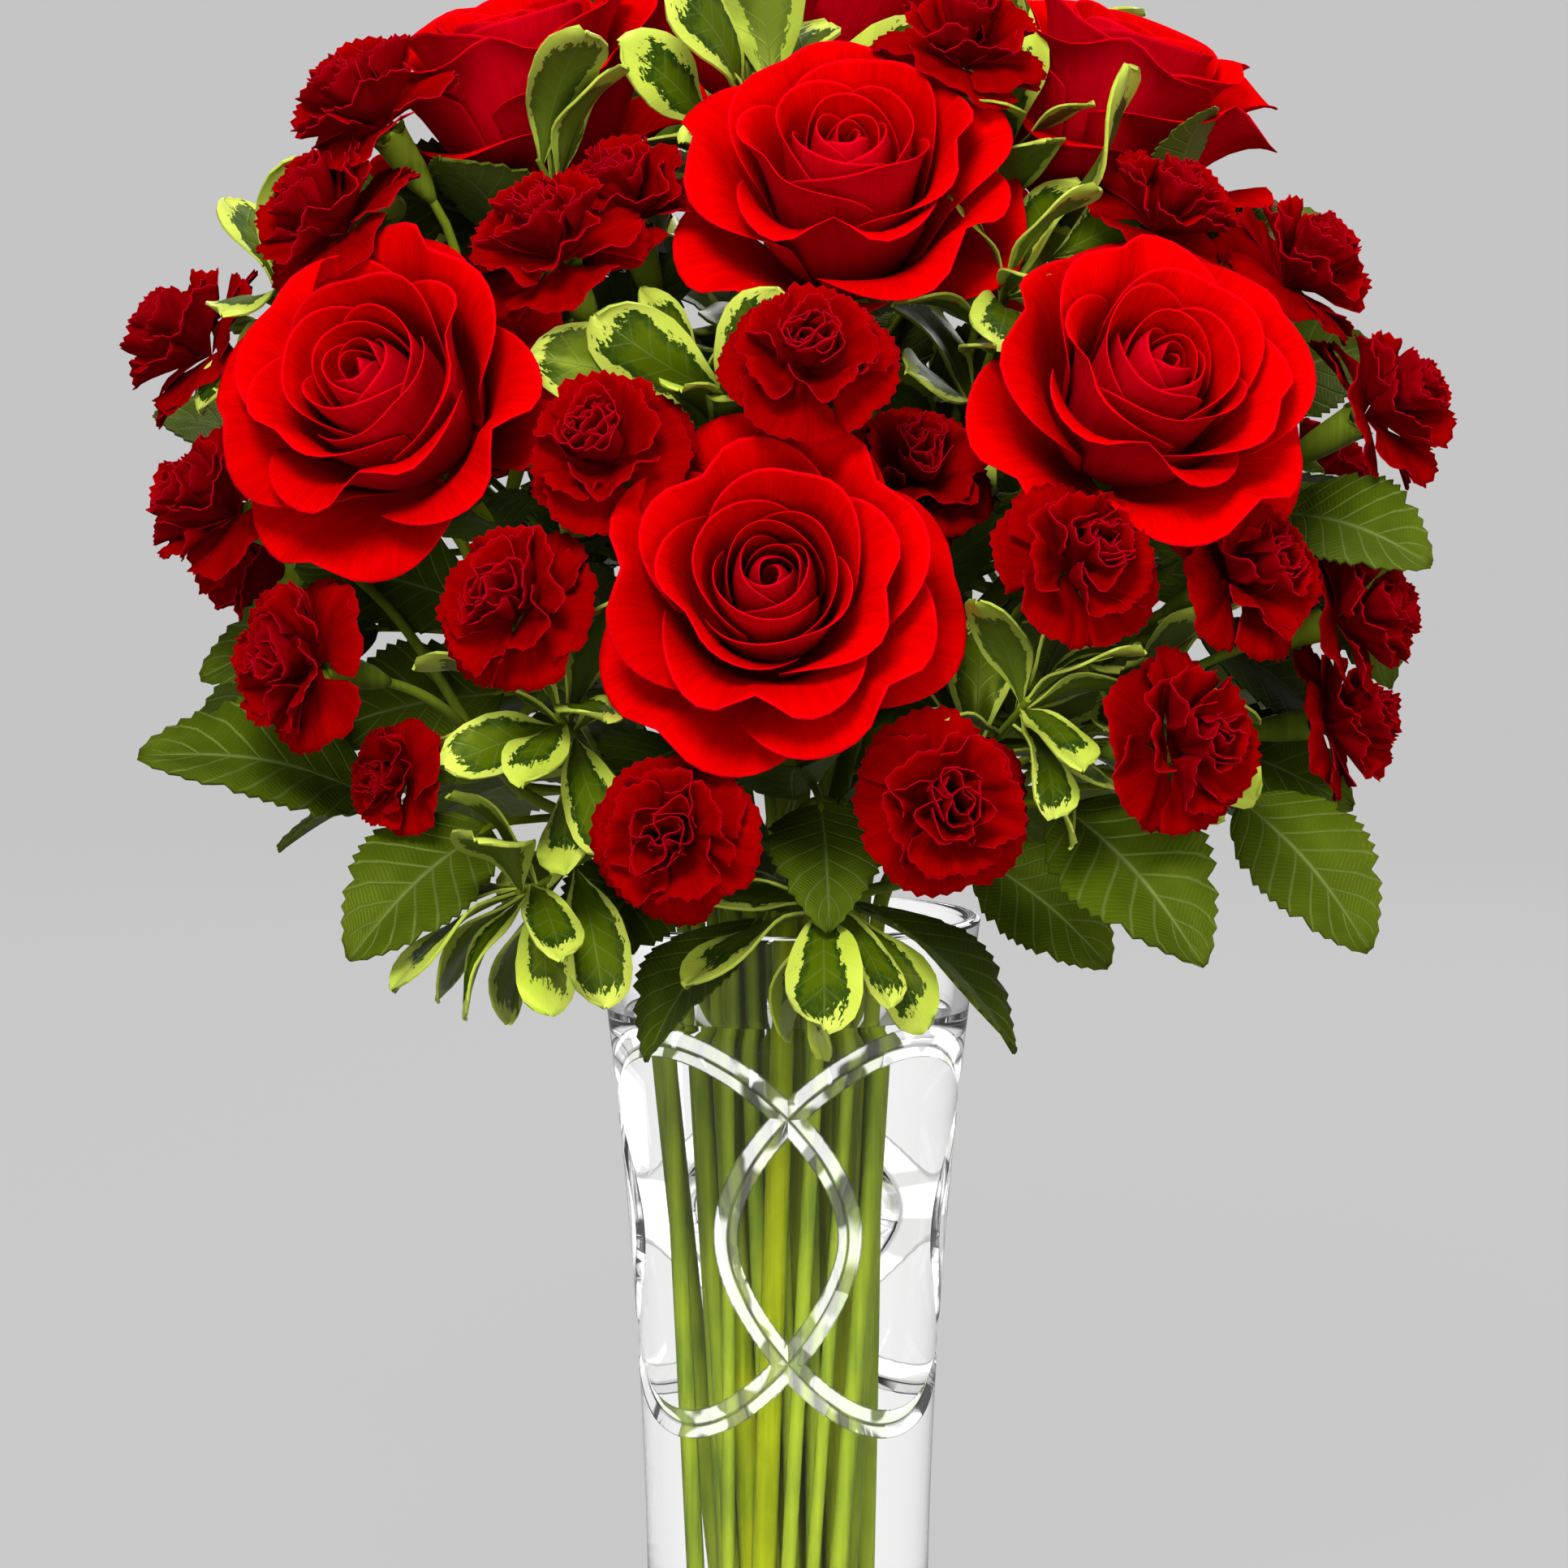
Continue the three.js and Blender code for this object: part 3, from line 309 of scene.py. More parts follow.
def turned(vector, axis, angle):
    """The vector turned round an axis through the origin."""
    axis = unit(axis)
    across = np.cross(axis, vector)
    return (vector * math.cos(angle) + across * math.sin(angle)
            + axis * np.dot(axis, vector) * (1 - math.cos(angle)))


def facing(look):
    """The matrix that turns +Z to look along the shortest way."""
    return np.array(Vector(UP).rotation_difference(Vector(look)).to_matrix())


def bezier(start, heading, end, end_heading, shares):
    """Points of the arc that leaves start along heading and arrives along end_heading."""
    reach = 0.4 * np.linalg.norm(end - start)
    first, second = start + heading * reach, end - end_heading * reach
    t = point(shares)[:, None]
    return ((1 - t) ** 3 * start + 3 * (1 - t) ** 2 * t * first
            + 3 * (1 - t) * t ** 2 * second + t ** 3 * end)


def steps(count):
    return [(i + 1) / count for i in range(count)]


class Curve:
    """A centripetal curve through points, with places on it given by share."""

    TABLE = 200

    def __init__(self, points):
        self.points = [point(p) for p in points]

    def at(self, share):
        points, last = self.points, len(self.points) - 1
        place = last * share
        i = min(int(math.floor(place)), last - 1)
        weight = place - i
        p1, p2 = points[i], points[i + 1]
        p0 = points[i - 1] if i > 0 else 2 * p1 - p2
        p3 = points[i + 2] if i + 2 <= last else 2 * p2 - p1
        d0, d1, d2 = [max(math.sqrt(np.linalg.norm(b - a)), 1e-4)
                      for a, b in ((p0, p1), (p1, p2), (p2, p3))]
        t1 = ((p1 - p0) / d0 - (p2 - p0) / (d0 + d1) + (p2 - p1) / d1) * d1
        t2 = ((p2 - p1) / d1 - (p3 - p1) / (d1 + d2) + (p3 - p2) / d2) * d1
        c2 = -3 * p1 + 3 * p2 - 2 * t1 - t2
        c3 = 2 * p1 - 2 * p2 + t1 + t2
        return p1 + t1 * weight + c2 * weight ** 2 + c3 * weight ** 3

    def lengths(self):
        marks = [self.at(i / self.TABLE) for i in range(self.TABLE + 1)]
        gaps = [np.linalg.norm(b - a) for a, b in zip(marks, marks[1:])]
        return np.concatenate([[0], np.cumsum(gaps)])

    def even(self, share):
        """The parameter at a share of the curve's length."""
        lengths = self.lengths()
        return float(np.interp(share * lengths[-1], lengths, np.linspace(0, 1, self.TABLE + 1)))

    def heading(self, place):
        low, high = max(place - 1e-4, 0), min(place + 1e-4, 1)
        return unit(self.at(high) - self.at(low))


# ---------------------------------------------------------------- meshes from grids

def blade(grid, along, across, thickness):
    """A closed sheet round a grid of points: vertices, quads, UV, side and smoothness."""
    rows, columns = grid.shape[:2]
    normal = np.cross(np.gradient(grid, axis=0), np.gradient(grid, axis=1))
    normal /= np.maximum(np.linalg.norm(normal, axis=-1, keepdims=True), 1e-12)
    half = np.broadcast_to(np.asarray(thickness, float) / 2, (rows, columns))[..., None]
    count = rows * columns
    corner = np.arange(count).reshape(rows, columns)
    a, b, c, d = corner[:-1, :-1], corner[:-1, 1:], corner[1:, 1:], corner[1:, :-1]
    front = np.stack([a, d, c, b], -1).reshape(-1, 4)
    back = np.stack([a, b, c, d], -1).reshape(-1, 4) + count
    edge = np.concatenate([corner[0, :], corner[1:, -1], corner[-1, -2::-1], corner[-2:0:-1, 0]])
    ahead = np.roll(edge, -1)
    rim = np.stack([edge, ahead, ahead + count, edge + count], -1)
    v, u = np.meshgrid(across, along)
    uv = np.stack([(v + 1) / 2, u], -1).reshape(-1, 2)
    return {
        "co": np.concatenate([(grid + side * half).reshape(-1, 3) for side in (normal, -normal)]),
        "quads": np.concatenate([front, back, rim]),
        "uv": np.concatenate([uv, uv]),
        "side": np.repeat([0.0, 1.0], count),
        "smooth": np.concatenate([np.ones(len(front) + len(back), bool), np.zeros(len(rim), bool)]),
    }


def write(mesh, name, kind, values):
    """Store a value for each vertex, under a name that node trees and finishes read."""
    stored = mesh.attributes.new(name, kind, 'POINT')
    values = np.asarray(values, np.int32 if kind == 'INT' else np.float32)
    stored.data.foreach_set("vector" if kind == 'FLOAT_VECTOR' else "value", values.ravel())


def sheet_mesh(name, blades, tones=None):
    """One mesh of many blades, with UVMap and the attributes side and tone."""
    tones = [0.5] * len(blades) if tones is None else tones
    starts = np.cumsum([0] + [len(b["co"]) for b in blades])
    co = np.concatenate([b["co"] for b in blades])
    quads = np.concatenate([b["quads"] + start for b, start in zip(blades, starts)])
    uv = np.concatenate([b["uv"] for b in blades])
    mesh = bpy.data.meshes.new(name)
    mesh.vertices.add(len(co))
    mesh.vertices.foreach_set("co", co.astype(np.float32).ravel())
    mesh.loops.add(quads.size)
    mesh.loops.foreach_set("vertex_index", quads.astype(np.int32).ravel())
    mesh.polygons.add(len(quads))
    mesh.polygons.foreach_set("loop_start", np.arange(0, quads.size, 4, dtype=np.int32))
    mesh.polygons.foreach_set("use_smooth", np.concatenate([b["smooth"] for b in blades]))
    mesh.update(calc_edges=True)
    mapped = mesh.uv_layers.new(name="UVMap")
    mapped.data.foreach_set("uv", uv[quads.ravel()].astype(np.float32).ravel())
    write(mesh, "side", 'FLOAT', np.concatenate([b["side"] for b in blades]))
    write(mesh, "tone", 'FLOAT', np.repeat(tones, [len(b["co"]) for b in blades]))
    return mesh


def as_object(name, mesh):
    made = bpy.data.objects.new(name, mesh)
    bpy.context.scene.collection.objects.link(made)
    return made


def joined(name, objects):
    """Objects of one piece joined into one object."""
    first = objects[0]
    if len(objects) > 1:
        with bpy.context.temp_override(active_object=first, object=first,
                                       selected_objects=objects, selected_editable_objects=objects):
            bpy.ops.object.join()
    first.name = name
    first.data.name = name
    return first


def squeeze_inside(mesh):
    """Press what stands out of the solids' box back to its sides, softly."""
    co = np.empty(3 * len(mesh.vertices), np.float32)
    mesh.vertices.foreach_get("co", co)
    co = co.reshape(-1, 3)
    for axis in range(3):
        for sign, limit in ((-1, CAD_BOX[0][axis]), (1, CAD_BOX[1][axis])):
            reach, limit = sign * co[:, axis], sign * limit
            if reach.max() > limit:
                start = limit - SQUEEZE
                share = (limit - start) / (reach.max() - start)
                co[:, axis] = sign * np.where(reach > start, start + (reach - start) * share, reach)
    mesh.vertices.foreach_set("co", co.ravel())
    mesh.update()


def settle(piece, slot, *nodes):
    """Hand a finished piece to the frame."""
    if len(piece.data.vertices):
        squeeze_inside(piece.data)
    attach(piece, "root")
    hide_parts(*nodes)


def path_object(paths):
    """A wire of chains (points in mm, girths in mm) for the tube tree."""
    co, edges, girths = [], [], []
    for points, girth in paths:
        start = len(co)
        co.extend(point(p) * MM for p in points)
        edges.extend((start + i, start + i + 1) for i in range(len(points) - 1))
        girths.extend(g * MM for g in girth)
    mesh = bpy.data.meshes.new("wire")
    mesh.from_pydata([tuple(p) for p in co], edges, [])
    write(mesh, "girth", 'FLOAT', girths)
    return as_object("wire", mesh)


def feet_object(feet):
    """A vertex for each leaf: its foot, turn (quaternion), scale, kind and tone."""
    mesh = bpy.data.meshes.new("feet")
    mesh.from_pydata([tuple(foot["at"] * MM) for foot in feet], [], [])
    write(mesh, "turn", 'QUATERNION', [foot["turn"] for foot in feet])
    write(mesh, "reach", 'FLOAT_VECTOR', np.array([foot["scale"] for foot in feet], np.float32) * MM)
    write(mesh, "kind", 'INT', [foot["kind"] for foot in feet])
    write(mesh, "tone", 'FLOAT', [foot["tone"] for foot in feet])
    return as_object("feet", mesh)


# ---------------------------------------------------------------- node trees

class Graph:
    """Short ways to add and join the nodes of a tree."""

    def __init__(self, tree):
        self.tree = tree

    def feed(self, socket, value):
        if isinstance(value, bpy.types.NodeSocket):
            self.tree.links.new(value, socket)
        elif value is not None:
            socket.default_value = value

    def add(self, kind, inputs=None, **settings):
        node = self.tree.nodes.new(kind)
        for name, value in settings.items():
            setattr(node, name, value)
        for key, value in (inputs or {}).items():
            self.feed(node.inputs[key], value)
        return node

    def math(self, operation, a, b=None, c=None):
        node = self.add('ShaderNodeMath', operation=operation)
        for socket, value in zip(node.inputs, (a, b, c)):
            self.feed(socket, value)
        return node.outputs[0]

    def band(self, value, low, high):
        """A smooth rise from 0 at low to 1 at high."""
        node = self.add('ShaderNodeMapRange', {"Value": value, "From Min": low, "From Max": high},
                        interpolation_type='SMOOTHSTEP')
        return node.outputs[0]

    def blend(self, factor, a, b):
        """A colour between a and b."""
        node = self.add('ShaderNodeMix', data_type='RGBA')
        for key, value in ((0, factor), (6, a), (7, b)):
            self.feed(node.inputs[key], value)
        return node.outputs[2]

    def rest(self, value):
        """One less a value."""
        return self.math('SUBTRACT', 1.0, value)

    def noise(self, vector, scale, detail, roughness=0.5):
        return self.add('ShaderNodeTexNoise', {"Vector": vector, "Scale": scale, "Detail": detail,
                                               "Roughness": roughness}).outputs["Fac"]

    def place(self):
        """The object's own coordinates."""
        return self.add('ShaderNodeTexCoord').outputs["Object"]

    def layered(self, colour, *layers):
        """A colour under layers of (mask, share, tint), each laid over the ones before."""
        for mask, share, tint in layers:
            colour = self.blend(self.math('MULTIPLY', mask, share), colour, tint)
        return colour

    def named(self, name, kind='FLOAT'):
        node = self.add('GeometryNodeInputNamedAttribute', {"Name": name}, data_type=kind)
        return node.outputs["Attribute"]


def new_tree(name, kind, inputs, outputs):
    """A node tree as a graph, with the sockets that it is given and those that it feeds."""
    tree = bpy.data.node_groups.new(name, kind)
    for way, sockets in (('INPUT', inputs), ('OUTPUT', outputs)):
        for label, socket in sockets.items():
            tree.interface.new_socket(label, in_out=way, socket_type=f"NodeSocket{socket}")
    graph = Graph(tree)
    return graph, graph.add('NodeGroupInput').outputs, graph.add('NodeGroupOutput').inputs


def geometry_tree(name, inputs):
    """A tree that takes and gives a geometry, with further named inputs."""
    geometry = {"Geometry": 'Geometry'}
    return new_tree(name, 'GeometryNodeTree', {**geometry, **inputs}, geometry)


def close_tree(graph, geometry, material, output):
    """End a tree with real geometry in one material."""
    real = graph.add('GeometryNodeRealizeInstances', {"Geometry": geometry})
    painted = graph.add('GeometryNodeSetMaterial', {"Geometry": real.outputs[0], "Material": material})
    graph.feed(output["Geometry"], painted.outputs[0])


def tube_tree():
    """Round tubes along the chains of a wire, as wide as their girth."""
    graph, given, output = geometry_tree("Stems along paths", {"Sides": 'Int', "Material": 'Material'})
    curve = graph.add('GeometryNodeMeshToCurve', {"Mesh": given["Geometry"]})
    ring = graph.add('GeometryNodeCurvePrimitiveCircle', {"Resolution": given["Sides"], "Radius": 1.0})
    tube = graph.add('GeometryNodeCurveToMesh', {
        "Curve": curve.outputs[0], "Profile Curve": ring.outputs["Curve"],
        "Scale": graph.named("girth"), "Fill Caps": True})
    smooth = graph.add('GeometryNodeSetShadeSmooth', {"Geometry": tube.outputs[0]})
    close_tree(graph, smooth.outputs[0], given["Material"], output)
    return graph.tree


def copies(graph, shelf, points, pick, rotation, scale):
    """A copy of one of a collection's shapes on each point."""
    shapes = graph.add('GeometryNodeCollectionInfo', {
        "Collection": shelf, "Separate Children": True, "Reset Children": True})
    placed = graph.add('GeometryNodeInstanceOnPoints', {
        "Points": points, "Instance": shapes.outputs[0], "Pick Instance": True,
        "Instance Index": pick, "Rotation": rotation, "Scale": scale})
    return placed.outputs[0]


def carnation_tree():
    """A head of petals round +Z: upright folded ones in the heart, flat broad ones outside."""
    graph, given, output = geometry_tree("Carnation head", {
        "Petals": 'Int', "Radius": 'Float', "Seed": 'Int', "Variants": 'Collection',
        "Material": 'Material'})
    index = graph.add('GeometryNodeInputIndex').outputs[0]
    share = graph.math('DIVIDE', index, graph.math('SUBTRACT', given["Petals"], 1.0))

    def random(low, high, salt):
        seed = graph.math('ADD', given["Seed"], float(salt))
        return graph.add('FunctionNodeRandomValue', {2: low, 3: high, "Seed": seed},
                         data_type='FLOAT').outputs[1]

    points = graph.add('GeometryNodePoints', {"Count": given["Petals"]})
    kinds, variants = len(CARNATION_KINDS), CARNATION_VARIANTS
    place = graph.math('MULTIPLY', share, kinds - 0.01)
    kind = graph.math('FLOOR', place)
    rise = graph.math('ADD', graph.math('MULTIPLY', kind, math.radians(TIER_STEP)),
                      graph.math('MULTIPLY', graph.math('FRACT', place), math.radians(TIER_SPREAD)))
    tilt = graph.math('ADD', rise, random(*np.radians(PETAL_TILTS).tolist(), 100))
    spin = graph.math('ADD', graph.math('MULTIPLY', index, GOLDEN), random(-PETAL_SPIN, PETAL_SPIN, 200))
    roll = random(-PETAL_ROLL, PETAL_ROLL, 300)
    turn = graph.add('ShaderNodeCombineXYZ', {"X": tilt, "Y": roll, "Z": spin})
    rotation = graph.add('FunctionNodeEulerToRotation', {0: turn.outputs[0]})
    size = graph.math('MULTIPLY', given["Radius"], graph.math(
        'ADD', random(*PETAL_SIZES, 400), graph.math('MULTIPLY', share, PETAL_GROWTH)))
    scale = graph.add('ShaderNodeCombineXYZ', {"X": size, "Y": size, "Z": size})
    pick = graph.math('ADD', graph.math('MULTIPLY', kind, float(variants)),
                      graph.math('MODULO', graph.math('ADD', index, given["Seed"]), float(variants)))
    placed = copies(graph, given["Variants"], points.outputs[0], pick, rotation.outputs[0],
                    scale.outputs[0])
    toned = graph.add('GeometryNodeStoreNamedAttribute', {
        "Geometry": placed, "Name": "tone", "Value": random(0.0, 1.0, 500)},
        data_type='FLOAT', domain='INSTANCE')
    close_tree(graph, toned.outputs[0], given["Material"], output)
    return graph.tree


def leaf_tree():
    """A leaf at each foot, turned and sized by the foot's attributes."""
    graph, given, output = geometry_tree("Leaves on stems", {
        "Variants": 'Collection', "Material": 'Material'})
    placed = copies(graph, given["Variants"], given["Geometry"], graph.named("kind", 'INT'),
                    graph.named("turn", 'QUATERNION'), graph.named("reach", 'FLOAT_VECTOR'))
    close_tree(graph, placed, given["Material"], output)
    return graph.tree


def grown(host, tree, **values):
    """The plain mesh that a tree makes from a host object, which is then removed."""
    modifier = host.modifiers.new("grow", 'NODES')
    modifier.node_group = tree
    for item in tree.interface.items_tree:
        if item.in_out == 'INPUT' and item.name in values:
            modifier[item.identifier] = values[item.name]
    evaluated = host.evaluated_get(bpy.context.evaluated_depsgraph_get())
    mesh = bpy.data.meshes.new_from_object(evaluated)
    if not mesh.polygons:
        raise RuntimeError(f"{tree.name} made nothing")
    bpy.data.objects.remove(host)
    return mesh


def tree_of(make, name):
    """A node tree by name, built the first time that it is asked for."""
    return bpy.data.node_groups.get(name) or make()


def variants(name, meshes):
    """A collection of the shapes that a tree picks from, outside the scene."""
    shelf = bpy.data.collections.get(name)
    if shelf:
        return shelf
    shelf = bpy.data.collections.new(name)
    for i, mesh in enumerate(meshes()):
        shelf.objects.link(bpy.data.objects.new(f"{name}_{i:02d}", mesh))
    return shelf


def clear_shelves():
    """Remove the shapes that the trees picked from."""
    for name in SHELVES:
        shelf = bpy.data.collections.get(name)
        if shelf:
            for shape in list(shelf.objects):
                bpy.data.objects.remove(shape)
            bpy.data.collections.remove(shelf)


# ---------------------------------------------------------------- shader groups

def shader_group(name, inputs, *outputs):
    """A shader group whose inputs are of the given kinds and whose outputs are values."""
    return new_tree(name, 'ShaderNodeTree', inputs, dict.fromkeys(outputs, 'Float'))


def off_middle(graph, parts):
    """0 on the midrib of a blade, 1 on its margins."""
    return graph.math('ABSOLUTE', graph.math('MULTIPLY_ADD', parts["X"], 2.0, -1.0))


def streaks_group():
    """Fine lines that run along a blade, from noise stretched lengthwise."""
    graph, given, output = shader_group(
        "Fine streaks", {"Vector": 'Vector', "Across": 'Float', "Along": 'Float'}, "Value")
    stretch = graph.add('ShaderNodeCombineXYZ', {
        "X": given["Across"], "Y": given["Along"], "Z": given["Along"]})
    vector = graph.add('ShaderNodeVectorMath', {0: given["Vector"], 1: stretch.outputs[0]},
                       operation='MULTIPLY')
    graph.feed(output["Value"], graph.band(graph.noise(vector.outputs[0], 1.0, 3.0, 0.6), 0.32, 0.68))
    return graph.tree


def mottle_group():
    """Soft blotches in the object's own space."""
    graph, given, output = shader_group(
        "Mottle", {"Scale": 'Float', "Low": 'Float', "High": 'Float'}, "Value")
    noise = graph.noise(graph.place(), given["Scale"], 2.0)
    graph.feed(output["Value"], graph.band(noise, given["Low"], given["High"]))
    return graph.tree


def border_group():
    """How near the border of a blade lies: 1 on it, 0 a width inside. The root isn't border."""
    graph, given, output = shader_group(
        "Blade border", {"UV": 'Vector', "Width": 'Float', "Flank": 'Float'}, "Mask", "Depth")
    parts = graph.add('ShaderNodeSeparateXYZ', {0: given["UV"]}).outputs
    sides = graph.math('MULTIPLY', graph.rest(off_middle(graph, parts)), given["Flank"])
    depth = graph.math('MINIMUM', sides, graph.rest(parts["Y"]))
    graph.feed(output["Depth"], depth)
    graph.feed(output["Mask"], graph.rest(graph.band(depth, 0.0, given["Width"])))
    return graph.tree


def veins_group():
    """A midrib with pairs of slanting side veins."""
    graph, given, output = shader_group(
        "Leaf veins", {"UV": 'Vector', "Pairs": 'Float', "Slant": 'Float', "Width": 'Float'}, "Mask")
    parts = graph.add('ShaderNodeSeparateXYZ', {0: given["UV"]}).outputs
    middle = off_middle(graph, parts)
    bowed = graph.math('MULTIPLY', graph.math('POWER', middle, 0.8), given["Slant"])
    place = graph.math('MULTIPLY', graph.math('SUBTRACT', parts["Y"], bowed), given["Pairs"])
    share = graph.math('FRACT', place)
    gap = graph.math('MINIMUM', share, graph.rest(share))
    side = graph.rest(graph.band(gap, 0.0, given["Width"]))
    rib = graph.rest(graph.band(middle, 0.0, graph.math('MULTIPLY', given["Width"], 0.45)))
    graph.feed(output["Mask"], graph.math('MAXIMUM', graph.math('MULTIPLY', side, 0.6), rib))
    return graph.tree


GROUPS = {"Fine streaks": streaks_group, "Mottle": mottle_group, "Blade border": border_group,
          "Leaf veins": veins_group}


class Finish(Graph):
    """A material with a Principled BSDF whose constants are set on its own sockets."""

    def __init__(self, name, **plain):
        self.material = bpy.data.materials.new(name)
        self.material.use_nodes = True
        super().__init__(self.material.node_tree)
        self.surface = self.tree.nodes["Principled BSDF"].inputs
        for label, value in plain.items():
            self.surface[label.replace("_", " ")].default_value = value
        self.uv = None

    def shared(self, name, **values):
        """One of the shader groups, with this material's own values."""
        node = self.add('ShaderNodeGroup', node_tree=bpy.data.node_groups.get(name) or GROUPS[name]())
        for label, value in values.items():
            self.feed(node.inputs[label], value)
        return node.outputs

    def paint(self, colour):
        self.feed(self.surface["Base Color"], colour)

    def blade_uv(self):
        if self.uv is None:
            self.uv = self.add('ShaderNodeUVMap', uv_map="UVMap").outputs[0]
        return self.uv

    def along(self):
        return self.add('ShaderNodeSeparateXYZ', {0: self.blade_uv()}).outputs["Y"]

    def mark(self, name):
        return self.add('ShaderNodeAttribute', attribute_name=name).outputs["Fac"]

    def relief(self, height, strength, distance):
        bump = self.add('ShaderNodeBump', {"Strength": strength, "Distance": distance, "Height": height})
        self.feed(self.surface["Normal"], bump.outputs[0])


def shade(colour, factor):
    return tuple(c * factor for c in colour[:3]) + (1.0,)


def opaque(colour):
    return tuple(colour[:3]) + (1.0,)


# ---------------------------------------------------------------- finishes

LEAF_SHINE = (0.75, 0.85, 0.12, 1.0)
# Painted glints: the cut facets glow (emission) in patches of noise, as bright as lit glass, though no lamp
# makes them.
GLINT_SHIFT = 0.02              # metres by which facets that face other ways read other noise for their painted glints
GLINT_SCALE = 80.0
GLINT_EDGE = (0.42, 0.5)        # noise between which a facet's painted glow (emission) turns on
CUT_LIP = (0.04, 0.16)          # shares of the groove's depth over which the painted dark line at its lip fades
CUT_RIDGE = (0.8, 0.94)         # the same for the painted dark line at its bottom
# Painted shade: how dark the glass is tinted along the painted dark lines.
LINE_SHADE = 0.45
PETAL_TONES = (0.8, 1.12)       # shades of the darkest and the brightest petal of a bloom
# Petals: roughness, how many streaks go across one, width of its rim and share of the rim's colour.
ROSE_VELVET = (0.5, 70.0, 0.025, 0.25)
CARNATION_VELVET = (0.55, 44.0, 0.014, 0.35)
STEM_ROUGHNESS = 0.4
CALYX_ROUGHNESS = 0.5


def glass_finish(colours):
    return Finish("clear glass", Base_Color=opaque(colours.glass), Roughness=0.0, IOR=1.5,
                  Transmission_Weight=1.0, Specular_Tint=(0.35, 0.35, 0.35, 1.0)).material


def facet_finish(colours):
    """The wheel-cut grooves: polished glass with painted glints, patches of facets that glow (emission),
    and painted dark lines along each groove's lips and bottom.
    """
    # Emission_Strength sets how strongly the painted glints glow.
    finish = Finish("cut facets", Base_Color=opaque(colours.glass), Roughness=0.04, IOR=1.6,
                    Transmission_Weight=0.9, Specular_IOR_Level=0.8, Emission_Strength=0.7)
    place = finish.add('ShaderNodeTexCoord').outputs
    apart = finish.add('ShaderNodeVectorMath', {0: place["Normal"], 1: (GLINT_SHIFT,) * 3,
                                                2: place["Object"]}, operation='MULTIPLY_ADD')
    # painted glints: patches of noise where the facets glow
    painted_glints = finish.band(finish.noise(apart.outputs[0], GLINT_SCALE, 0.0), *GLINT_EDGE)
    # Painted shade: dark lines along each groove's lips and bottom, where the glass is tinted darker and
    # does not glow.
    depth = finish.mark("cut")
    painted_lip_shade = finish.rest(finish.band(depth, *CUT_LIP))
    line = finish.math('MAXIMUM', painted_lip_shade, finish.band(depth, *CUT_RIDGE))
    # painted glow: the glints everywhere except on the painted dark lines
    painted_glow = finish.math('MULTIPLY', painted_glints, finish.rest(line))
    # Emission Color: white glass where the painted glow is on, black elsewhere
    finish.feed(finish.surface["Emission Color"],
                finish.blend(painted_glow, shade(colours.glass, 0.0), opaque(colours.glass)))
    # the painted dark lines tint the glass darker
    finish.paint(finish.blend(line, opaque(colours.glass), shade(colours.glass, LINE_SHADE)))
    return finish.material


def water_finish(colours):
    return Finish("still water", Base_Color=opaque(colours.water), Roughness=0.0, IOR=1.33,
                  Transmission_Weight=1.0, Specular_Tint=(0.1, 0.1, 0.1, 1.0)).material


def petal_finish(name, colours, roughness, veins, rim_width, rim_share):
    """Velvet petals: streaked along their length, darker at the root, with a tinted rim."""
    front, back, root, rim = colours
    finish = Finish(name, Roughness=roughness, Specular_IOR_Level=0.0, Sheen_Weight=0.03,
                    Sheen_Roughness=0.4, Sheen_Tint=(1.0, 0.02, 0.03, 1.0))
    streaks = finish.shared("Fine streaks", Vector=finish.blade_uv(), Across=veins, Along=2.2)["Value"]
    broad = finish.shared("Fine streaks", Vector=finish.blade_uv(), Across=veins * 0.18,
                          Along=1.3)["Value"]
    border = finish.shared("Blade border", UV=finish.blade_uv(), Width=rim_width, Flank=3.0)["Mask"]
    side = finish.mark("side")
    colour = finish.blend(side, opaque(front), opaque(back))
    tone = finish.blend(finish.mark("tone"), *[shade((1, 1, 1), factor) for factor in PETAL_TONES])
    toned = finish.add('ShaderNodeMix', data_type='RGBA', blend_type='MULTIPLY')
    for key, value in ((0, 1.0), (6, colour), (7, tone)):
        finish.feed(toned.inputs[key], value)
    rooted = finish.rest(finish.band(finish.along(), 0.05, 0.62))
    finish.paint(finish.layered(
        toned.outputs[2], (streaks, 0.22, opaque(root)), (broad, 0.25, opaque(root)),
        (rooted, 0.75, opaque(root)), (border, rim_share, opaque(rim))))
    finish.relief(streaks, 0.25, 0.0004)
    return finish.material


def rose_leaf_finish(colours):
    finish = Finish("rose leaf", Roughness=0.46, Specular_IOR_Level=0.25, Specular_Tint=LEAF_SHINE)
    veins = finish.shared("Leaf veins", UV=finish.blade_uv(), Pairs=8.0, Slant=0.26, Width=0.12)["Mask"]
    fine = finish.shared("Leaf veins", UV=finish.blade_uv(), Pairs=37.0, Slant=-0.22, Width=0.3)["Mask"]
    mottle = finish.shared("Mottle", Scale=70.0, Low=0.3, High=0.7)["Value"]
    border = finish.shared("Blade border", UV=finish.blade_uv(), Width=0.03, Flank=0.5)["Mask"]
    green = finish.blend(mottle, opaque(colours.rose_leaf), shade(colours.rose_leaf, 1.5))
    finish.paint(finish.layered(
        green, (finish.mark("tone"), 0.6, opaque(colours.young_leaf)),
        (finish.mark("side"), 0.65, opaque(colours.leaf_back)),
        (fine, 0.2, shade(colours.leaf_vein, 0.5)), (veins, 0.6, opaque(colours.leaf_vein)),
        (border, 0.35, shade(colours.rose_leaf, 0.5))))
    sunken = finish.math('MAXIMUM', veins, finish.math('MULTIPLY', fine, 0.35))
    finish.relief(finish.rest(sunken), 0.6, 0.0006)
    return finish.material


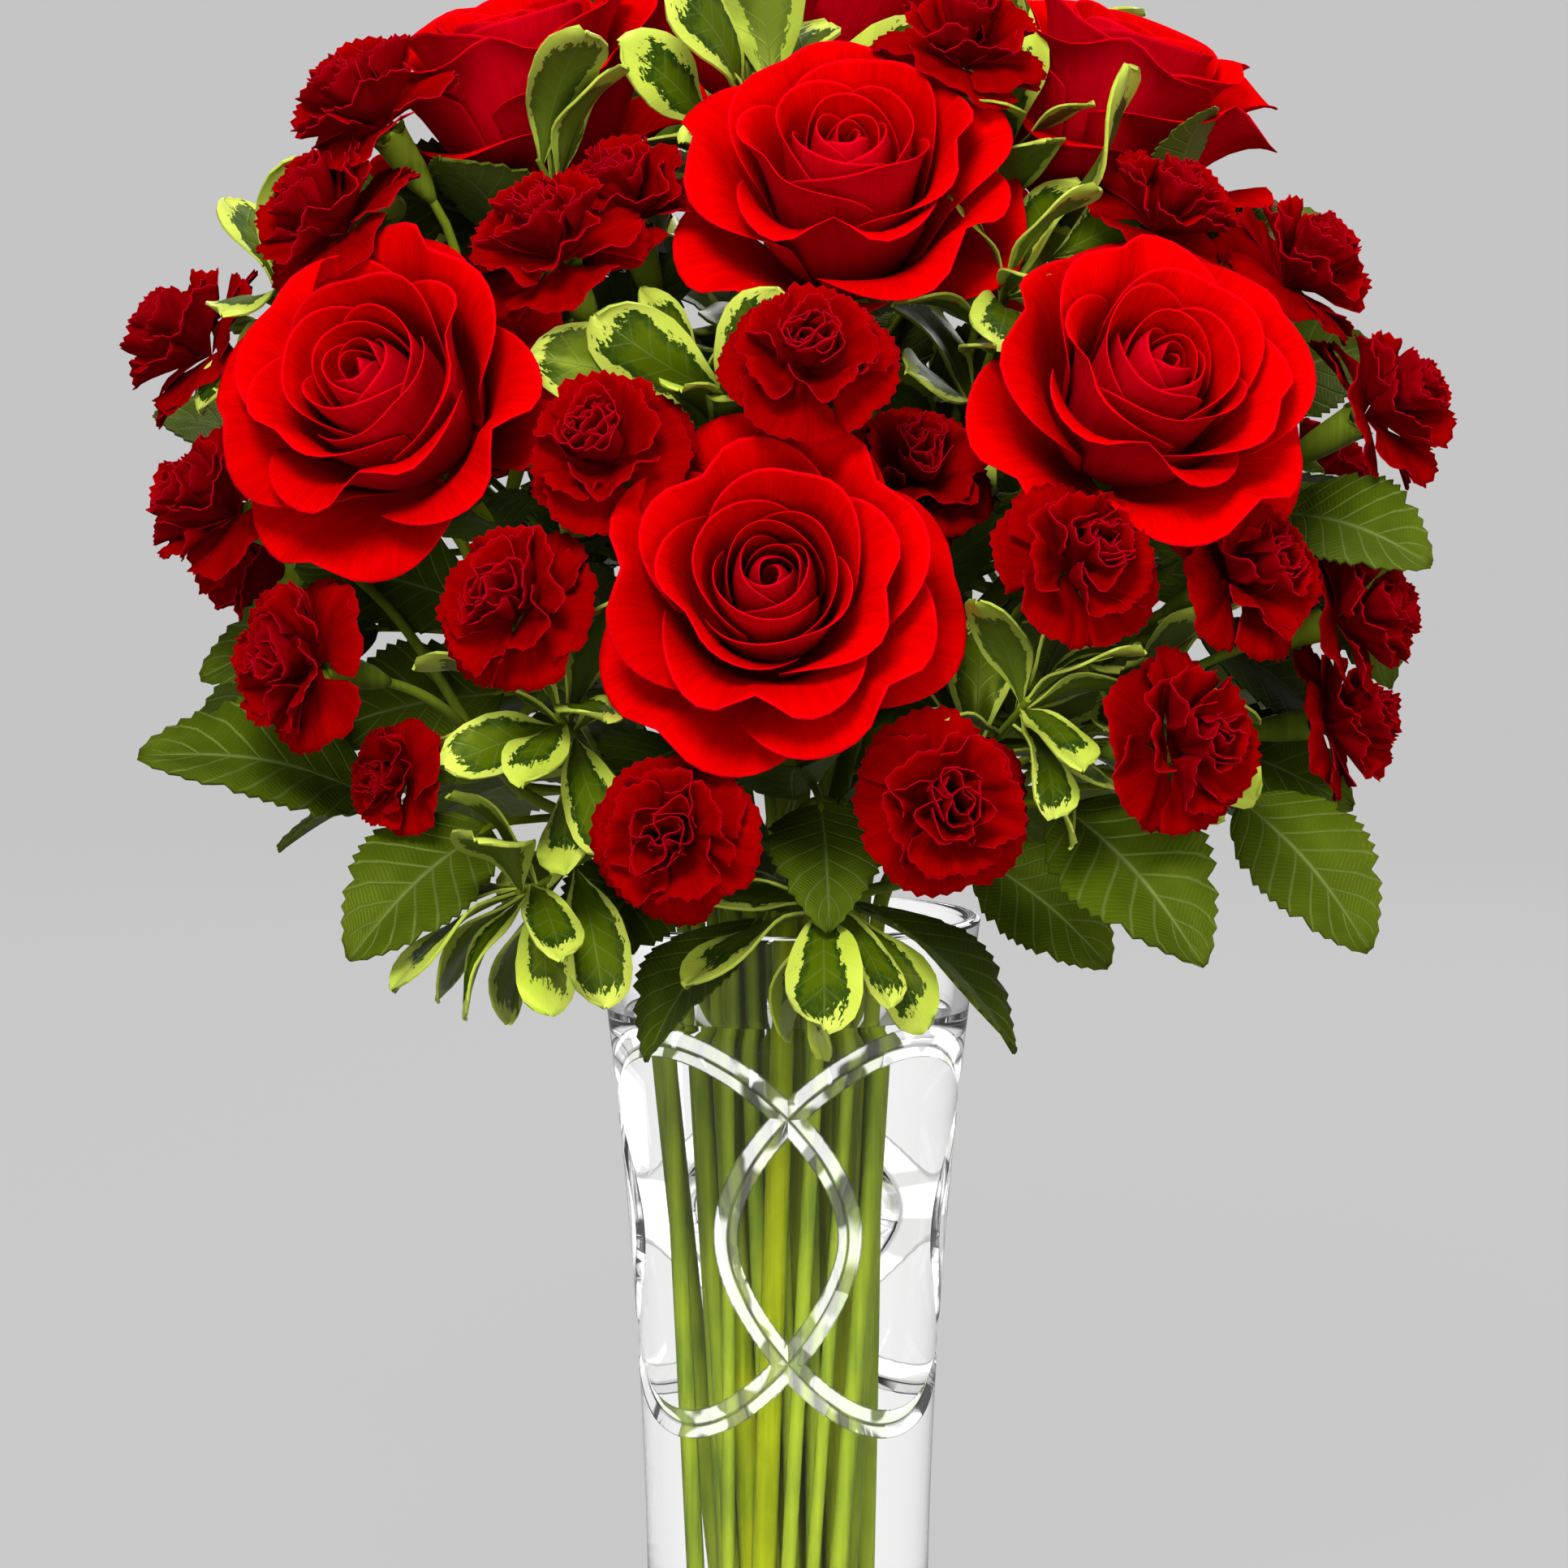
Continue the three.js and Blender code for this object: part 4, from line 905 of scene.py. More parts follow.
def pittosporum_finish(colours):
    """Green leaves with a pale margin, ragged where the two meet."""
    finish = Finish("variegated leaf", Roughness=0.38, Specular_IOR_Level=0.4, Specular_Tint=LEAF_SHINE)
    uv = finish.blade_uv()
    depth = finish.shared("Blade border", UV=uv, Width=0.1, Flank=0.5)["Depth"]
    ragged = finish.noise(uv, 13.0, 3.0, 0.65)
    broad = finish.noise(finish.place(), 45.0, 1.0)
    reach = finish.math('ADD', finish.math('MULTIPLY_ADD', ragged, 0.32, -0.07),
                        finish.math('MULTIPLY_ADD', broad, 0.42, -0.15))
    beyond = finish.math('SUBTRACT', depth, reach)
    inside, deeper = finish.band(beyond, -0.008, 0.012), finish.band(beyond, 0.03, 0.16)
    veins = finish.shared("Leaf veins", UV=uv, Pairs=7.0, Slant=0.2, Width=0.1)["Mask"]
    centre = finish.blend(deeper, opaque(colours.pittosporum_dark), opaque(colours.pittosporum_green))
    centre = finish.layered(centre, (veins, 0.35, opaque(colours.leaf_vein)))
    margin = finish.blend(broad, opaque(colours.margin), opaque(colours.margin_bright))
    finish.paint(finish.layered(finish.blend(inside, margin, centre),
                                (finish.mark("side"), 0.5, opaque(colours.leaf_back))))
    finish.relief(veins, 0.2, 0.0003)
    return finish.material


def stem_finish(name, colour, second, roughness):
    """Green stems with fine ridges along them and darker patches."""
    finish = Finish(name, Roughness=roughness, Specular_IOR_Level=0.2, Specular_Tint=LEAF_SHINE)
    ridges = finish.shared("Fine streaks", Vector=finish.place(), Across=900.0, Along=22.0)["Value"]
    patches = finish.shared("Mottle", Scale=38.0, Low=0.35, High=0.7)["Value"]
    finish.paint(finish.layered(finish.blend(patches, opaque(colour), opaque(second)),
                                (ridges, 0.35, shade(colour, 1.35))))
    finish.relief(ridges, 0.2, 0.0003)
    return finish.material


def finish_named(name, make, *values):
    """The material of this name, made on first use."""
    return bpy.data.materials.get(name) or make(*values)


def petal_red(colours, flower, *values):
    """The petals of a flower, in its own four colours."""
    name = f"{flower} petal"
    own = [getattr(colours, f"{flower}_{part}") for part in ("front", "back", "root", "rim")]
    return finish_named(name, petal_finish, name, own, *values)


def carnation_green(colours):
    """The green of carnation stems, which the pittosporum's twigs share."""
    return finish_named("carnation green", stem_finish, "carnation green", colours.calyx,
                        colours.calyx_dark, CALYX_ROUGHNESS)


# ---------------------------------------------------------------- vase shapes

OUTSIDE_RINGS = 40
INSIDE_RINGS = 36
WATER_RINGS = 30
# The water's skin at the wall: mm from the wall, and its rise as a share of MENISCUS.
WATER_SKIN = ((-WATER_OVERLAP, 1), (0.6, 0.55), (1.8, 0.15), (3.5, 0))
CUT_SKIN = 0.15                 # mm below the wall from which a face belongs to a cut
CUT_SLACK = 0.5                 # mm below the groove's depth up to which it still does
CUT_REACH = 0.4                 # share of the height, either way of the ovals' middle
CUT_CREASE = 24                 # degrees between faces from which an edge is sharp
WALL_SKIN = 0.12                # mm from the turned shape within which the wall is uncut


def outer_radius(z):
    return VASE_FOOT_RADIUS + VASE_FLARE * (z / VASE_HEIGHT) ** 2


def inner_radius(z):
    return outer_radius(z) - mix(WALL_FOOT, WALL_RIM, z / VASE_HEIGHT)


def arc(centre, radius, start, end, count=6):
    """Points (r, z) of an arc, angles in degrees."""
    angles = np.radians(np.linspace(start, end, count))
    return [(centre[0] + radius * math.cos(a), centre[1] + radius * math.sin(a)) for a in angles]


def lathe_mesh(name, profile, segments):
    """A closed turned body from a profile of (r, z) in mm that starts and ends on the axis."""
    rings = [p for p in profile if p[0] > 0]
    turns = TAU * np.arange(segments) / segments
    co = [(r * math.cos(a), r * math.sin(a), z) for r, z in rings for a in turns]
    co += [(0, 0, profile[0][1]), (0, 0, profile[-1][1])]
    low_pole, high_pole = len(co) - 2, len(co) - 1
    faces = []
    for j in range(segments):
        k = (j + 1) % segments
        faces.append((low_pole, k, j))
        last = (len(rings) - 1) * segments
        faces.append((high_pole, last + j, last + k))
        for i in range(len(rings) - 1):
            low, high = i * segments, (i + 1) * segments
            faces.append((low + j, low + k, high + k, high + j))
    mesh = bpy.data.meshes.new(name)
    mesh.from_pydata([(x * MM, y * MM, z * MM) for x, y, z in co], [], faces)
    mesh.shade_smooth()
    return mesh


def vase_profile():
    top = VASE_HEIGHT - RIM_EDGE
    corner = FLOOR_HEIGHT + FLOOR_CORNER
    outside = [(outer_radius(z), z) for z in np.linspace(FOOT_EDGE, top, OUTSIDE_RINGS)]
    inside = [(inner_radius(z), z) for z in np.linspace(top, corner, INSIDE_RINGS)]
    return ([(0, 0)] + arc((outer_radius(0) - FOOT_EDGE, FOOT_EDGE), FOOT_EDGE, -90, 0)[:-1] + outside
            + arc((outer_radius(VASE_HEIGHT) - RIM_EDGE, top), RIM_EDGE, 15, 90)
            + arc((inner_radius(VASE_HEIGHT) + RIM_EDGE, top), RIM_EDGE, 90, 165) + inside
            + arc((inner_radius(corner) - FLOOR_CORNER, corner), FLOOR_CORNER, -8, -90)
            + [(0, FLOOR_HEIGHT)])


def on_oval(oval, s, lift):
    z = OVAL_MIDDLE + OVAL_HALF_HEIGHT * math.cos(s)
    azimuth = TAU * (oval + 0.5) / OVAL_COUNT + math.asin(math.sin(OVAL_HALF_ANGLE) * math.sin(s))
    r = outer_radius(z) + lift
    return point((r * math.cos(azimuth), r * math.sin(azimuth), z))


def groove_mesh(oval):
    """The V-shaped wheel path that cuts one oval."""
    spread = 1 + GROOVE_LIFT / GROOVE_DEPTH
    co, faces = [], []
    for i in range(GROOVE_STATIONS):
        s = TAU * i / GROOVE_STATIONS
        along = on_oval(oval, s + 0.01, 0) - on_oval(oval, s - 0.01, 0)
        outward = on_oval(oval, s, 1) - on_oval(oval, s, 0)
        across = unit(np.cross(along, outward)) * spread * GROOVE_WIDTH / 2
        top = on_oval(oval, s, GROOVE_LIFT)
        co += [on_oval(oval, s, -GROOVE_DEPTH), top + across, top - across]
        low, high = 3 * i, 3 * ((i + 1) % GROOVE_STATIONS)
        faces += [(low + j, low + (j + 1) % 3, high + (j + 1) % 3, high + j) for j in range(3)]
    mesh = bpy.data.meshes.new("wheel path")
    mesh.from_pydata([tuple(p * MM) for p in co], [], faces)
    if signed_volume(mesh) < 0:
        mesh.flip_normals()
    return mesh


def signed_volume(mesh):
    mesh.calc_loop_triangles()
    co = np.array([v.co for v in mesh.vertices])
    tri = np.array([t.vertices for t in mesh.loop_triangles])
    return float(np.einsum('ij,ij->', co[tri[:, 0]], np.cross(co[tri[:, 1]], co[tri[:, 2]])))


def mark_facets(mesh):
    """Give the cut grooves the mesh's second material, and each vertex its depth in them."""
    for face in mesh.polygons:
        centre = face.center / MM
        radius = math.hypot(centre.x, centre.y)
        depth = outer_radius(centre.z) - radius
        outward = face.normal.x * centre.x + face.normal.y * centre.y > 0
        level = abs(centre.z - OVAL_MIDDLE) < VASE_HEIGHT * CUT_REACH
        if outward and level and CUT_SKIN < depth < GROOVE_DEPTH + CUT_SLACK:
            face.material_index = 1
    places = [v.co / MM for v in mesh.vertices]
    depths = [(outer_radius(p.z) - math.hypot(p.x, p.y)) / GROOVE_DEPTH for p in places]
    write(mesh, "cut", 'FLOAT', np.clip(depths, 0, 1))


def true_wall_normals(mesh):
    """Give the uncut outer wall the normals of the turned shape, so that it bends light evenly."""
    normals = [(0.0, 0.0, 0.0)] * len(mesh.loops)
    for face in mesh.polygons:
        centre = face.center / MM
        radius = math.hypot(centre.x, centre.y)
        level = FOOT_EDGE < centre.z < VASE_HEIGHT - RIM_EDGE
        if not level or abs(radius - outer_radius(centre.z)) >= WALL_SKIN:
            continue
        for loop in face.loop_indices:
            place = mesh.vertices[mesh.loops[loop].vertex_index].co
            slope = 2 * VASE_FLARE * place.z / MM / VASE_HEIGHT ** 2
            normal = Vector((place.x, place.y, -slope * math.hypot(place.x, place.y)))
            normals[loop] = tuple(normal.normalized())
    mesh.normals_split_custom_set(normals)


# ---------------------------------------------------------------- rose shapes

def rose_petal(k, seed, rows, columns):
    """The grid of petal k of a rose that looks along +Z, in mm, from root to rim."""
    t = k / (ROSE_PETALS - 1)
    length, base, belly, tip, half = [np.interp(t, PETAL_STEP, values) for values in (
        PETAL_LENGTH, PETAL_BASE, PETAL_BELLY, PETAL_TIP, PETAL_HALF)]
    base, belly, tip, half = np.radians([base, belly, tip, half])
    a, b, c, d = [TAU * chance(seed, 4 * k + n) for n in range(4)]
    u, v = point(rows)[:, None], point(columns)[None, :]
    crease = 1 - 0.62 * np.exp(-(v / 0.2) ** 2) * ease(t, 0.3, 0.7)
    roll = belly + (tip - belly) * crease * (1 + 0.18 * np.sin(v * 2.4 + d))
    w = u * (1 - 0.24 * np.abs(v) ** 3)
    s = ((np.arange(PETAL_SLICES) + 0.5) / PETAL_SLICES)[:, None]
    lean = belly + (base - belly) * (1 - s) ** 3 + (roll - belly) * s ** 5
    start = np.zeros((1, v.shape[1]))
    out = np.concatenate([start, np.cumsum(np.sin(lean), 0)]) / PETAL_SLICES
    rise = np.concatenate([start, np.cumsum(np.cos(lean), 0)]) / PETAL_SLICES
    place = w * PETAL_SLICES
    i = np.clip(place.astype(int), 0, PETAL_SLICES - 1)
    j = np.broadcast_to(np.arange(v.shape[1]), i.shape)
    out, rise = [line[i, j] + (line[i + 1, j] - line[i, j]) * (place - i) for line in (out, rise)]
    wave = np.sin(v * 3.1 + a) * 0.6 + np.sin(v * 6.3 + b) * 0.4
    radius = (mix(1, 5, t) + length * out + ease(w, 0.45, 1) * wave * mix(0.25, 1.7, t)
              - 0.9 * v * ease(w, 0.05, 0.4))
    height = mix(8, 0, t) + length * rise + ease(w, 0.5, 1) * np.sin(v * 3.6 + c) * mix(0.3, 1.4, t)
    turn = k * GOLDEN + half * v * (0.3 + 0.7 * ease(u, 0, 0.4))
    return np.stack([radius * np.cos(turn), radius * np.sin(turn), height], -1)


def stand(mesh, base, look):
    """Move a mesh that looks along +Z to its base, in mm, and turn it to its look."""
    mesh.transform(Matrix.Translation(Vector(base * MM)) @ Matrix(facing(look)).to_4x4())


def rose_base(look, face):
    return point(face) - unit(look) * ROSE_DEPTH


def rose_mesh(rose, seed, thickness):
    face, look = rose[0], unit(rose[1])
    rows = np.concatenate([np.linspace(0, 0.88, 10), (0.94, 0.98, 1.0)])
    columns = np.linspace(-1, 1, 25)
    columns = 0.5 * (columns + np.sin(columns * math.pi / 2))
    edge = np.minimum.outer(1 - rows, 1 - np.abs(columns))
    girth = thickness * mix(0.45, 1, ease(edge, 0, 0.12))
    matrix, base = facing(look), rose_base(look, face)
    blades = []
    for k in range(ROSE_PETALS):
        grid = rose_petal(k, seed, rows, columns) @ matrix.T + base
        blades.append(blade(grid * MM, rows, columns, girth))
    return sheet_mesh("rose", blades, [chance(seed, 300 + k) for k in range(ROSE_PETALS)])


HIP_SIDES = 20
HIP_PROFILE = [(0, -13.4), (2.6, -13), (3.3, -11), (4.7, -8), (5.5, -5), (5.4, -2.6), (4.8, -1),
               (4.4, -0.4), (0, -0.3)]
SEPALS = 5
SEPAL_REACH = 23
SEPAL_WIDTH = 7
SEPAL_THICKNESS = 0.6


def sepal(turn, seed):
    """A narrow sepal that springs from the hip's rim and curls back."""
    rows, columns = np.linspace(0, 1, 12), np.linspace(-1, 1, 7)
    u, v = rows[:, None], columns[None, :]
    half = SEPAL_WIDTH / 2 * (1 - u) ** 0.7 * (0.75 + 0.5 * u)
    reach = 4.6 + (SEPAL_REACH - 4.6) * u
    drop = -1.2 - 5.0 * ease(u, 0, 0.9) + 2.0 * math.sin(seed) * u ** 2 + 0.25 * half * v ** 2
    side = -v * half + 1.2 * np.sin(4 * u + seed) * u
    x = reach * math.cos(turn) - side * math.sin(turn)
    y = reach * math.sin(turn) + side * math.cos(turn)
    return np.stack([x, y, drop + 0 * x], -1), rows, columns


def hip_objects(base, look, seed, green):
    hip = lathe_mesh("hip", HIP_PROFILE, HIP_SIDES)
    blades = []
    for i in range(SEPALS):
        grid, rows, columns = sepal(TAU * i / SEPALS, seed + 2.1 * i)
        blades.append(blade(grid * MM, rows, columns, SEPAL_THICKNESS * MM))
    sepals = sheet_mesh("sepals", blades)
    made = []
    for mesh in (hip, sepals):
        mesh.materials.append(green)
        stand(mesh, base, look)
        made.append(as_object(mesh.name, mesh))
    return made


# ---------------------------------------------------------------- carnation shapes

def carnation_petal(kind, variant):
    """A fan-shaped petal of unit length that stands along +Z and looks to +Y."""
    half, bend, depth, waves, curl = CARNATION_KINDS[kind]
    seed = 40 * kind + variant
    columns = np.linspace(-1, 1, CARNATION_COLUMNS + 1)
    u, v = point(CARNATION_ROWS)[:, None], columns[None, :]
    tooth = CARNATION_TOOTH * (np.arange(len(columns)) % 2) * (0.5 + np.array(
        [chance(seed, 60 + j) for j in range(len(columns))]))
    reach = u * (1 - 0.07 * v ** 2 - 0.05 * np.sin(2.1 * v + seed) * v) * (1 - tooth * ease(u, 0.86, 1))
    angle = math.radians(half) * v * mix(0.45, 1, ease(u, 0.1, 0.75))
    x, z = reach * np.sin(angle), reach * np.cos(angle)
    phases = [TAU * chance(seed, n) for n in range(4)]
    folds = np.sin(waves * math.pi * v + phases[0]) + 0.45 * np.sin(waves * 7.3 * v + phases[1] + 2 * u)
    y = depth * ease(u, 0.3, 1) * folds + 0.05 * np.sin(5 * u + phases[2]) * u
    wrap = x / bend
    x, y = (bend - y) * np.sin(wrap), y + bend * (1 - np.cos(wrap)) - curl * u ** 4
    twist = 0.25 * math.sin(phases[3]) * u
    x, y = x * np.cos(twist) - y * np.sin(twist), x * np.sin(twist) + y * np.cos(twist)
    return blade(np.stack([x, y, z + 0 * x], -1), CARNATION_ROWS, columns, CARNATION_THICKNESS)


def carnation_petals():
    return [sheet_mesh("petal", [carnation_petal(kind, variant)])
            for kind in range(len(CARNATION_KINDS)) for variant in range(CARNATION_VARIANTS)]


def bloom_frame(bloom):
    """Where a carnation's head joins its calyx, in mm, and the way that it looks."""
    x, y, z, radius = bloom
    look = unit((x, y, (z - 250) * 0.9 + 18))
    return point((x, y, z)) - look * BLOOM_HEIGHT * radius / BLOOM_RADIUS, look


def carnation_head(spray, bloom, petals, red):
    base, look = bloom_frame(SPRAYS[spray - 1][4][bloom - 1])
    radius = SPRAYS[spray - 1][4][bloom - 1][3] * MM
    host = as_object("head", bpy.data.meshes.new("head"))
    shelf = variants("carnation_petals", carnation_petals)
    mesh = grown(host, tree_of(carnation_tree, "Carnation head"), Petals=petals, Radius=radius,
                 Seed=10 * spray + bloom, Variants=shelf, Material=red)
    stand(mesh, base, look)
    return as_object("head", mesh)


def carnation_nodes():
    """The blooms of each carnation node in order, as lists of (spray, bloom)."""
    keys = [(i + 1, j + 1) for i, spray in enumerate(SPRAYS) for j in range(len(spray[4]))]
    return [[key] + ([TOUCHING[key]] if key in TOUCHING else [])
            for key in keys if key not in TOUCHING.values()]


CALYX_PROFILE = [(0, -23), (1.3, -22.6), (2.2, -20), (3.2, -17), (3.8, -13), (4.2, -8), (4.5, -4),
                 (4.9, -1.2), (5.1, -0.3)]
CALYX_TEETH = 5
CALYX_SIDES = 20


def calyx_object(base, look, size, green):
    """The green tube under a carnation's head, with five teeth round its mouth."""
    profile = [(r * size, z * size) for r, z in CALYX_PROFILE + [(0, -2.2)]]
    mesh = lathe_mesh("calyx", profile, CALYX_SIDES)
    for vertex in mesh.vertices:
        radius = math.hypot(vertex.co.x, vertex.co.y)
        mouth = ease(vertex.co.z / (size * MM), -2.0, -0.3) * ease(radius / (size * MM), 4.0, 5.0)
        tooth = abs(math.sin(CALYX_TEETH * math.atan2(vertex.co.y, vertex.co.x) / 2))
        vertex.co.z -= float(mouth) * tooth * 2.6 * size * MM
    mesh.materials.append(green)
    stand(mesh, base, look)
    return as_object("calyx", mesh)


# ---------------------------------------------------------------- leaf shapes

def leaf_half_width(t, width):
    return 0.8 + (width / 2 - 0.8) * np.sin(math.pi * t ** 0.82) ** 0.85


def rose_leaf_mesh(variant):
    """A toothed oval leaf of unit length and width, along +Y, with sunken veins."""
    teeth, pairs, width = 17, 8, 36
    rows = np.linspace(0, 1, 2 * teeth + 1)
    columns = np.sin(np.linspace(-math.pi / 2, math.pi / 2, 9))
    u, v = rows[:, None], columns[None, :]
    saw = (u * teeth) % 1
    half = leaf_half_width(np.clip(u, 0, 1), width) / width
    half = half * (1 - 0.15 * saw * ease(u, 0.05, 0.2) * np.abs(v) ** 3)
    x = -v * half
    place = ((u - 0.26 * np.abs(v) ** 0.8) * pairs) % 1
    puff = np.sin(math.pi * place) * ease(np.abs(v), 0.05, 0.3) * (1 - ease(np.abs(v), 0.75, 1))
    z = (0.1 * np.sin(math.pi * u) + 0.13 * half * np.abs(v)
         + 0.009 * puff - 0.012 * np.exp(-(v / 0.07) ** 2)
         + 0.02 * np.sin(7 * u + 2 * v + 1.9 * variant) * v ** 2)
    y = u + 0.03 * (0.5 - saw) * ease(u, 0.05, 0.2) * (1 - ease(u, 0.93, 1)) * np.abs(v) ** 5
    grid = np.stack([x, y + 0 * x, z], -1)
    return sheet_mesh("leaf", [blade(grid, rows, columns, 0.012)])


SMALL_LEAF_OUTLINE = ((0, 0.1, 0.25, 0.42, 0.6, 0.78, 0.9, 0.97, 1),
                      (0.05, 0.2, 0.5, 0.8, 0.96, 0.95, 0.74, 0.42, 0.1))


def small_leaf_mesh(phase):
    """A blunt leaf of unit length and width, along +Y, with a wavy edge."""
    rows = np.concatenate([np.linspace(0, 0.9, 13), (0.94, 0.97, 1.0)])
    columns = np.sin(np.linspace(-math.pi / 2, math.pi / 2, 11))
    u, v = rows[:, None], columns[None, :]
    half = 0.5 * np.interp(rows, *SMALL_LEAF_OUTLINE)[:, None]
    wave = 0.048 * np.abs(v) ** 1.5 * np.sin(phase + 6.6 * u - v) * ease(u, 0, 0.4)
    z = 0.1 * np.sin(math.pi * u) + wave + 0.03 * np.abs(v) * half - 0.01 * np.exp(-(v / 0.1) ** 2)
    grid = np.stack([-v * half, u + 0 * v, z], -1)
    return sheet_mesh("leaf", [blade(grid, rows, columns, 0.02)])


def leaf_sides(reach, roll=0):
    """The way along a leaf, across it and out of its upper face, turned about its length."""
    along = unit(reach)
    across = unit((-along[1], along[0], 0.001))
    above = unit(np.cross(along, across))
    above = above if above[2] > 0 else -above
    across, above = [turned(side, along, math.radians(roll)) for side in (across, above)]
    return along, across, above


def roll_towards(reach, way):
    """The roll, in degrees, that turns a leaf's upper face as near a direction as can be."""
    along, _, above = leaf_sides(reach)
    return math.degrees(math.atan2(np.cross(along, above) @ way, above @ way))


def bent(foot, tip, lift, swing):
    reach = point(tip) - point(foot)
    across = unit((-reach[1], reach[0], 0))
    upward = unit(np.cross(reach, across))
    reach = turned(turned(reach, across, math.radians(lift)), upward, math.radians(swing))
    return point(foot) + reach


def all_bends(foot, tip, width, roll):
    """A leaf in each of the ways that it may be bent, for Thicket.first_clear."""
    return [(point(foot), bent(foot, tip, lift, swing), width, roll) for lift, swing in LEAF_BENDS]


def rose_leaf_marks(foot, tip, width, roll):
    """Points on the margin of a leaf's solid."""
    reach = tip - foot
    length = np.linalg.norm(reach)
    _, across, above = leaf_sides(reach, roll)
    marks = []
    for i in range(1, ROSE_LEAF_STATIONS):
        t = i / ROSE_LEAF_STATIONS
        half = leaf_half_width(t, width) * (1 if i % 2 else 0.86)
        rib = foot + reach * t + above * (length * 0.1 * math.sin(math.pi * t) + half * 0.22)
        marks += [rib + across * half, rib - across * half]
    return marks


def small_leaf_marks(foot, tip, width, phase):
    reach = tip - foot
    length = np.linalg.norm(reach)
    _, across, above = leaf_sides(reach)
    marks = []
    for i in (1, 2):
        t, share = SMALL_LEAF_ROWS[i]
        half = share * width / 2
        for v in (-1, 1):
            lift = (length * 0.1 * math.sin(math.pi * t) + half * 0.12
                    + 1.6 * share * math.sin(phase + 2.2 * i + v))
            marks.append(foot + reach * t + across * v * half + above * lift)
    return marks


def corner_tree(node):
    """The corners of a node's solid, for finding how its leaves lie."""
    vertices = frame["nodes"][node].data.vertices
    tree = KDTree(len(vertices))
    for i, vertex in enumerate(vertices):
        tree.insert(vertex.co, i)
    tree.balance()
    return tree


def misfit(tree, marks):
    return float(np.median([tree.find(Vector(mark * MM))[2] for mark in marks]))


def fitted_tip(tree, foot, tip, marks_of):
    """The tip of a leaf as its solid was bent clear of its neighbours, or None where it has none."""
    found = []
    for lift, swing in LEAF_BENDS:
        end = bent(foot, tip, lift, swing)
        found.append((misfit(tree, marks_of(point(foot), end)), tuple(end)))
    best = min(found)
    return point(best[1]) if best[0] < BEND_FIT else None


class Thicket:
    """Solids, blooms and leaves placed so far, which further leaves keep clear of."""

    ROWS = (0.14, 0.35, 0.55, 0.75, 0.9, 1.0)       # places along a leaf
    SHARES = (0.5, 0.9, 1.0, 0.85, 0.55, 0.1)       # its width there
    EASED = (1, 0.85)                               # lengths tried for a leaf that pierces a bloom
    SHORTENED = 0.75                                # its length where none of them is clear

    def __init__(self):
        self.blooms = self.tree_over([ob for ob in bpy.data.objects if "_bloom_" in ob.name])
        self.taken = [self.blooms, self.tree_over(frame["nodes"].values())]
        greens = [ob for ob in bpy.data.objects if "_green_" in ob.name]
        if greens:
            self.taken.append(self.tree_over(greens))

    def tree_over(self, objects):
        co, faces = [], []
        for ob in objects:
            start = len(co)
            co.extend(vertex.co / MM for vertex in ob.data.vertices)
            faces.extend([start + n for n in face.vertices] for face in ob.data.polygons)
        return BVHTree.FromPolygons(co, faces)

    def patch(self, foot, tip, width, roll):
        """A leaf's middle surface, but for its root."""
        reach = tip - foot
        _, across, above = leaf_sides(reach, roll)
        co = []
        for t, share in zip(self.ROWS, self.SHARES):
            rib = foot + reach * t + above * (0.1 * np.linalg.norm(reach) * math.sin(math.pi * t))
            co += [tuple(rib + across * (v * share * width / 2)) for v in (-1, 0, 1)]
        faces = [(3 * i + j, 3 * i + j + 1, 3 * i + j + 4, 3 * i + j + 3)
                 for i in range(len(self.ROWS) - 1) for j in range(2)]
        return BVHTree.FromPolygons(co, faces)

    def first_clear(self, choices):
        """The first (foot, tip, width, roll) that crosses nothing, or None."""
        for choice in choices:
            leaf = self.patch(*choice)
            if not any(tree.overlap(leaf) for tree in self.taken):
                self.taken.append(leaf)
                return choice
        return None

    def way_open(self, start, end):
        """Whether a stalk can run straight from start to end without crossing a bloom."""
        reach = end - start
        hit = self.blooms.ray_cast(Vector(start), Vector(reach), float(np.linalg.norm(reach)))
        return hit[0] is None

    def eased(self, foot, tip, width, roll):
        """A leaf of the solids, bent or shortened a little where it would pierce a bloom."""
        for share in self.EASED:
            for lift, swing in LEAF_BENDS[:EASED_BENDS]:
                end = bent(foot, mix(foot, tip, share), lift, swing)
                if not self.blooms.overlap(self.patch(foot, end, width, roll)):
                    return end
        return mix(foot, tip, self.SHORTENED)


def free_leaf(thicket, foot, along, seed, n, stalk, size, width_share):
    """One more leaf at a place on a stem, in the first direction and size that fits, or None."""
    along = unit(along)
    level = unit(np.cross(along, UP) + point((0.001, 0, 0)))
    choices = []
    for fall in FREE_SIZES:
        length = size * fall * mix(0.9, 1.12, chance(seed, n + 80))
        for turn in range(FREE_TURNS):
            side = turned(level, along, n * GOLDEN + seed + TAU * turn / FREE_TURNS)
            outward = unit(side + along * mix(0.1, 0.8, chance(seed, n + turn)))
            start = foot + outward * stalk
            if thicket.way_open(foot, start):
                choices.append((start, start + outward * length, length * width_share,
                                mix(-60, 60, chance(seed, 7 * n + turn))))
    return thicket.first_clear(choices)


def leaf_foot(foot, tip, width, roll, kind, tone):
    along, _, above = leaf_sides(point(tip) - point(foot), roll)
    length = float(np.linalg.norm(point(tip) - point(foot)))
    axes = Matrix([Vector(np.cross(along, above)), Vector(along), Vector(above)]).transposed()
    return {"at": point(foot), "turn": tuple(axes.to_quaternion()), "scale": (width, length, length),
            "kind": kind, "tone": tone}


# ---------------------------------------------------------------- stems

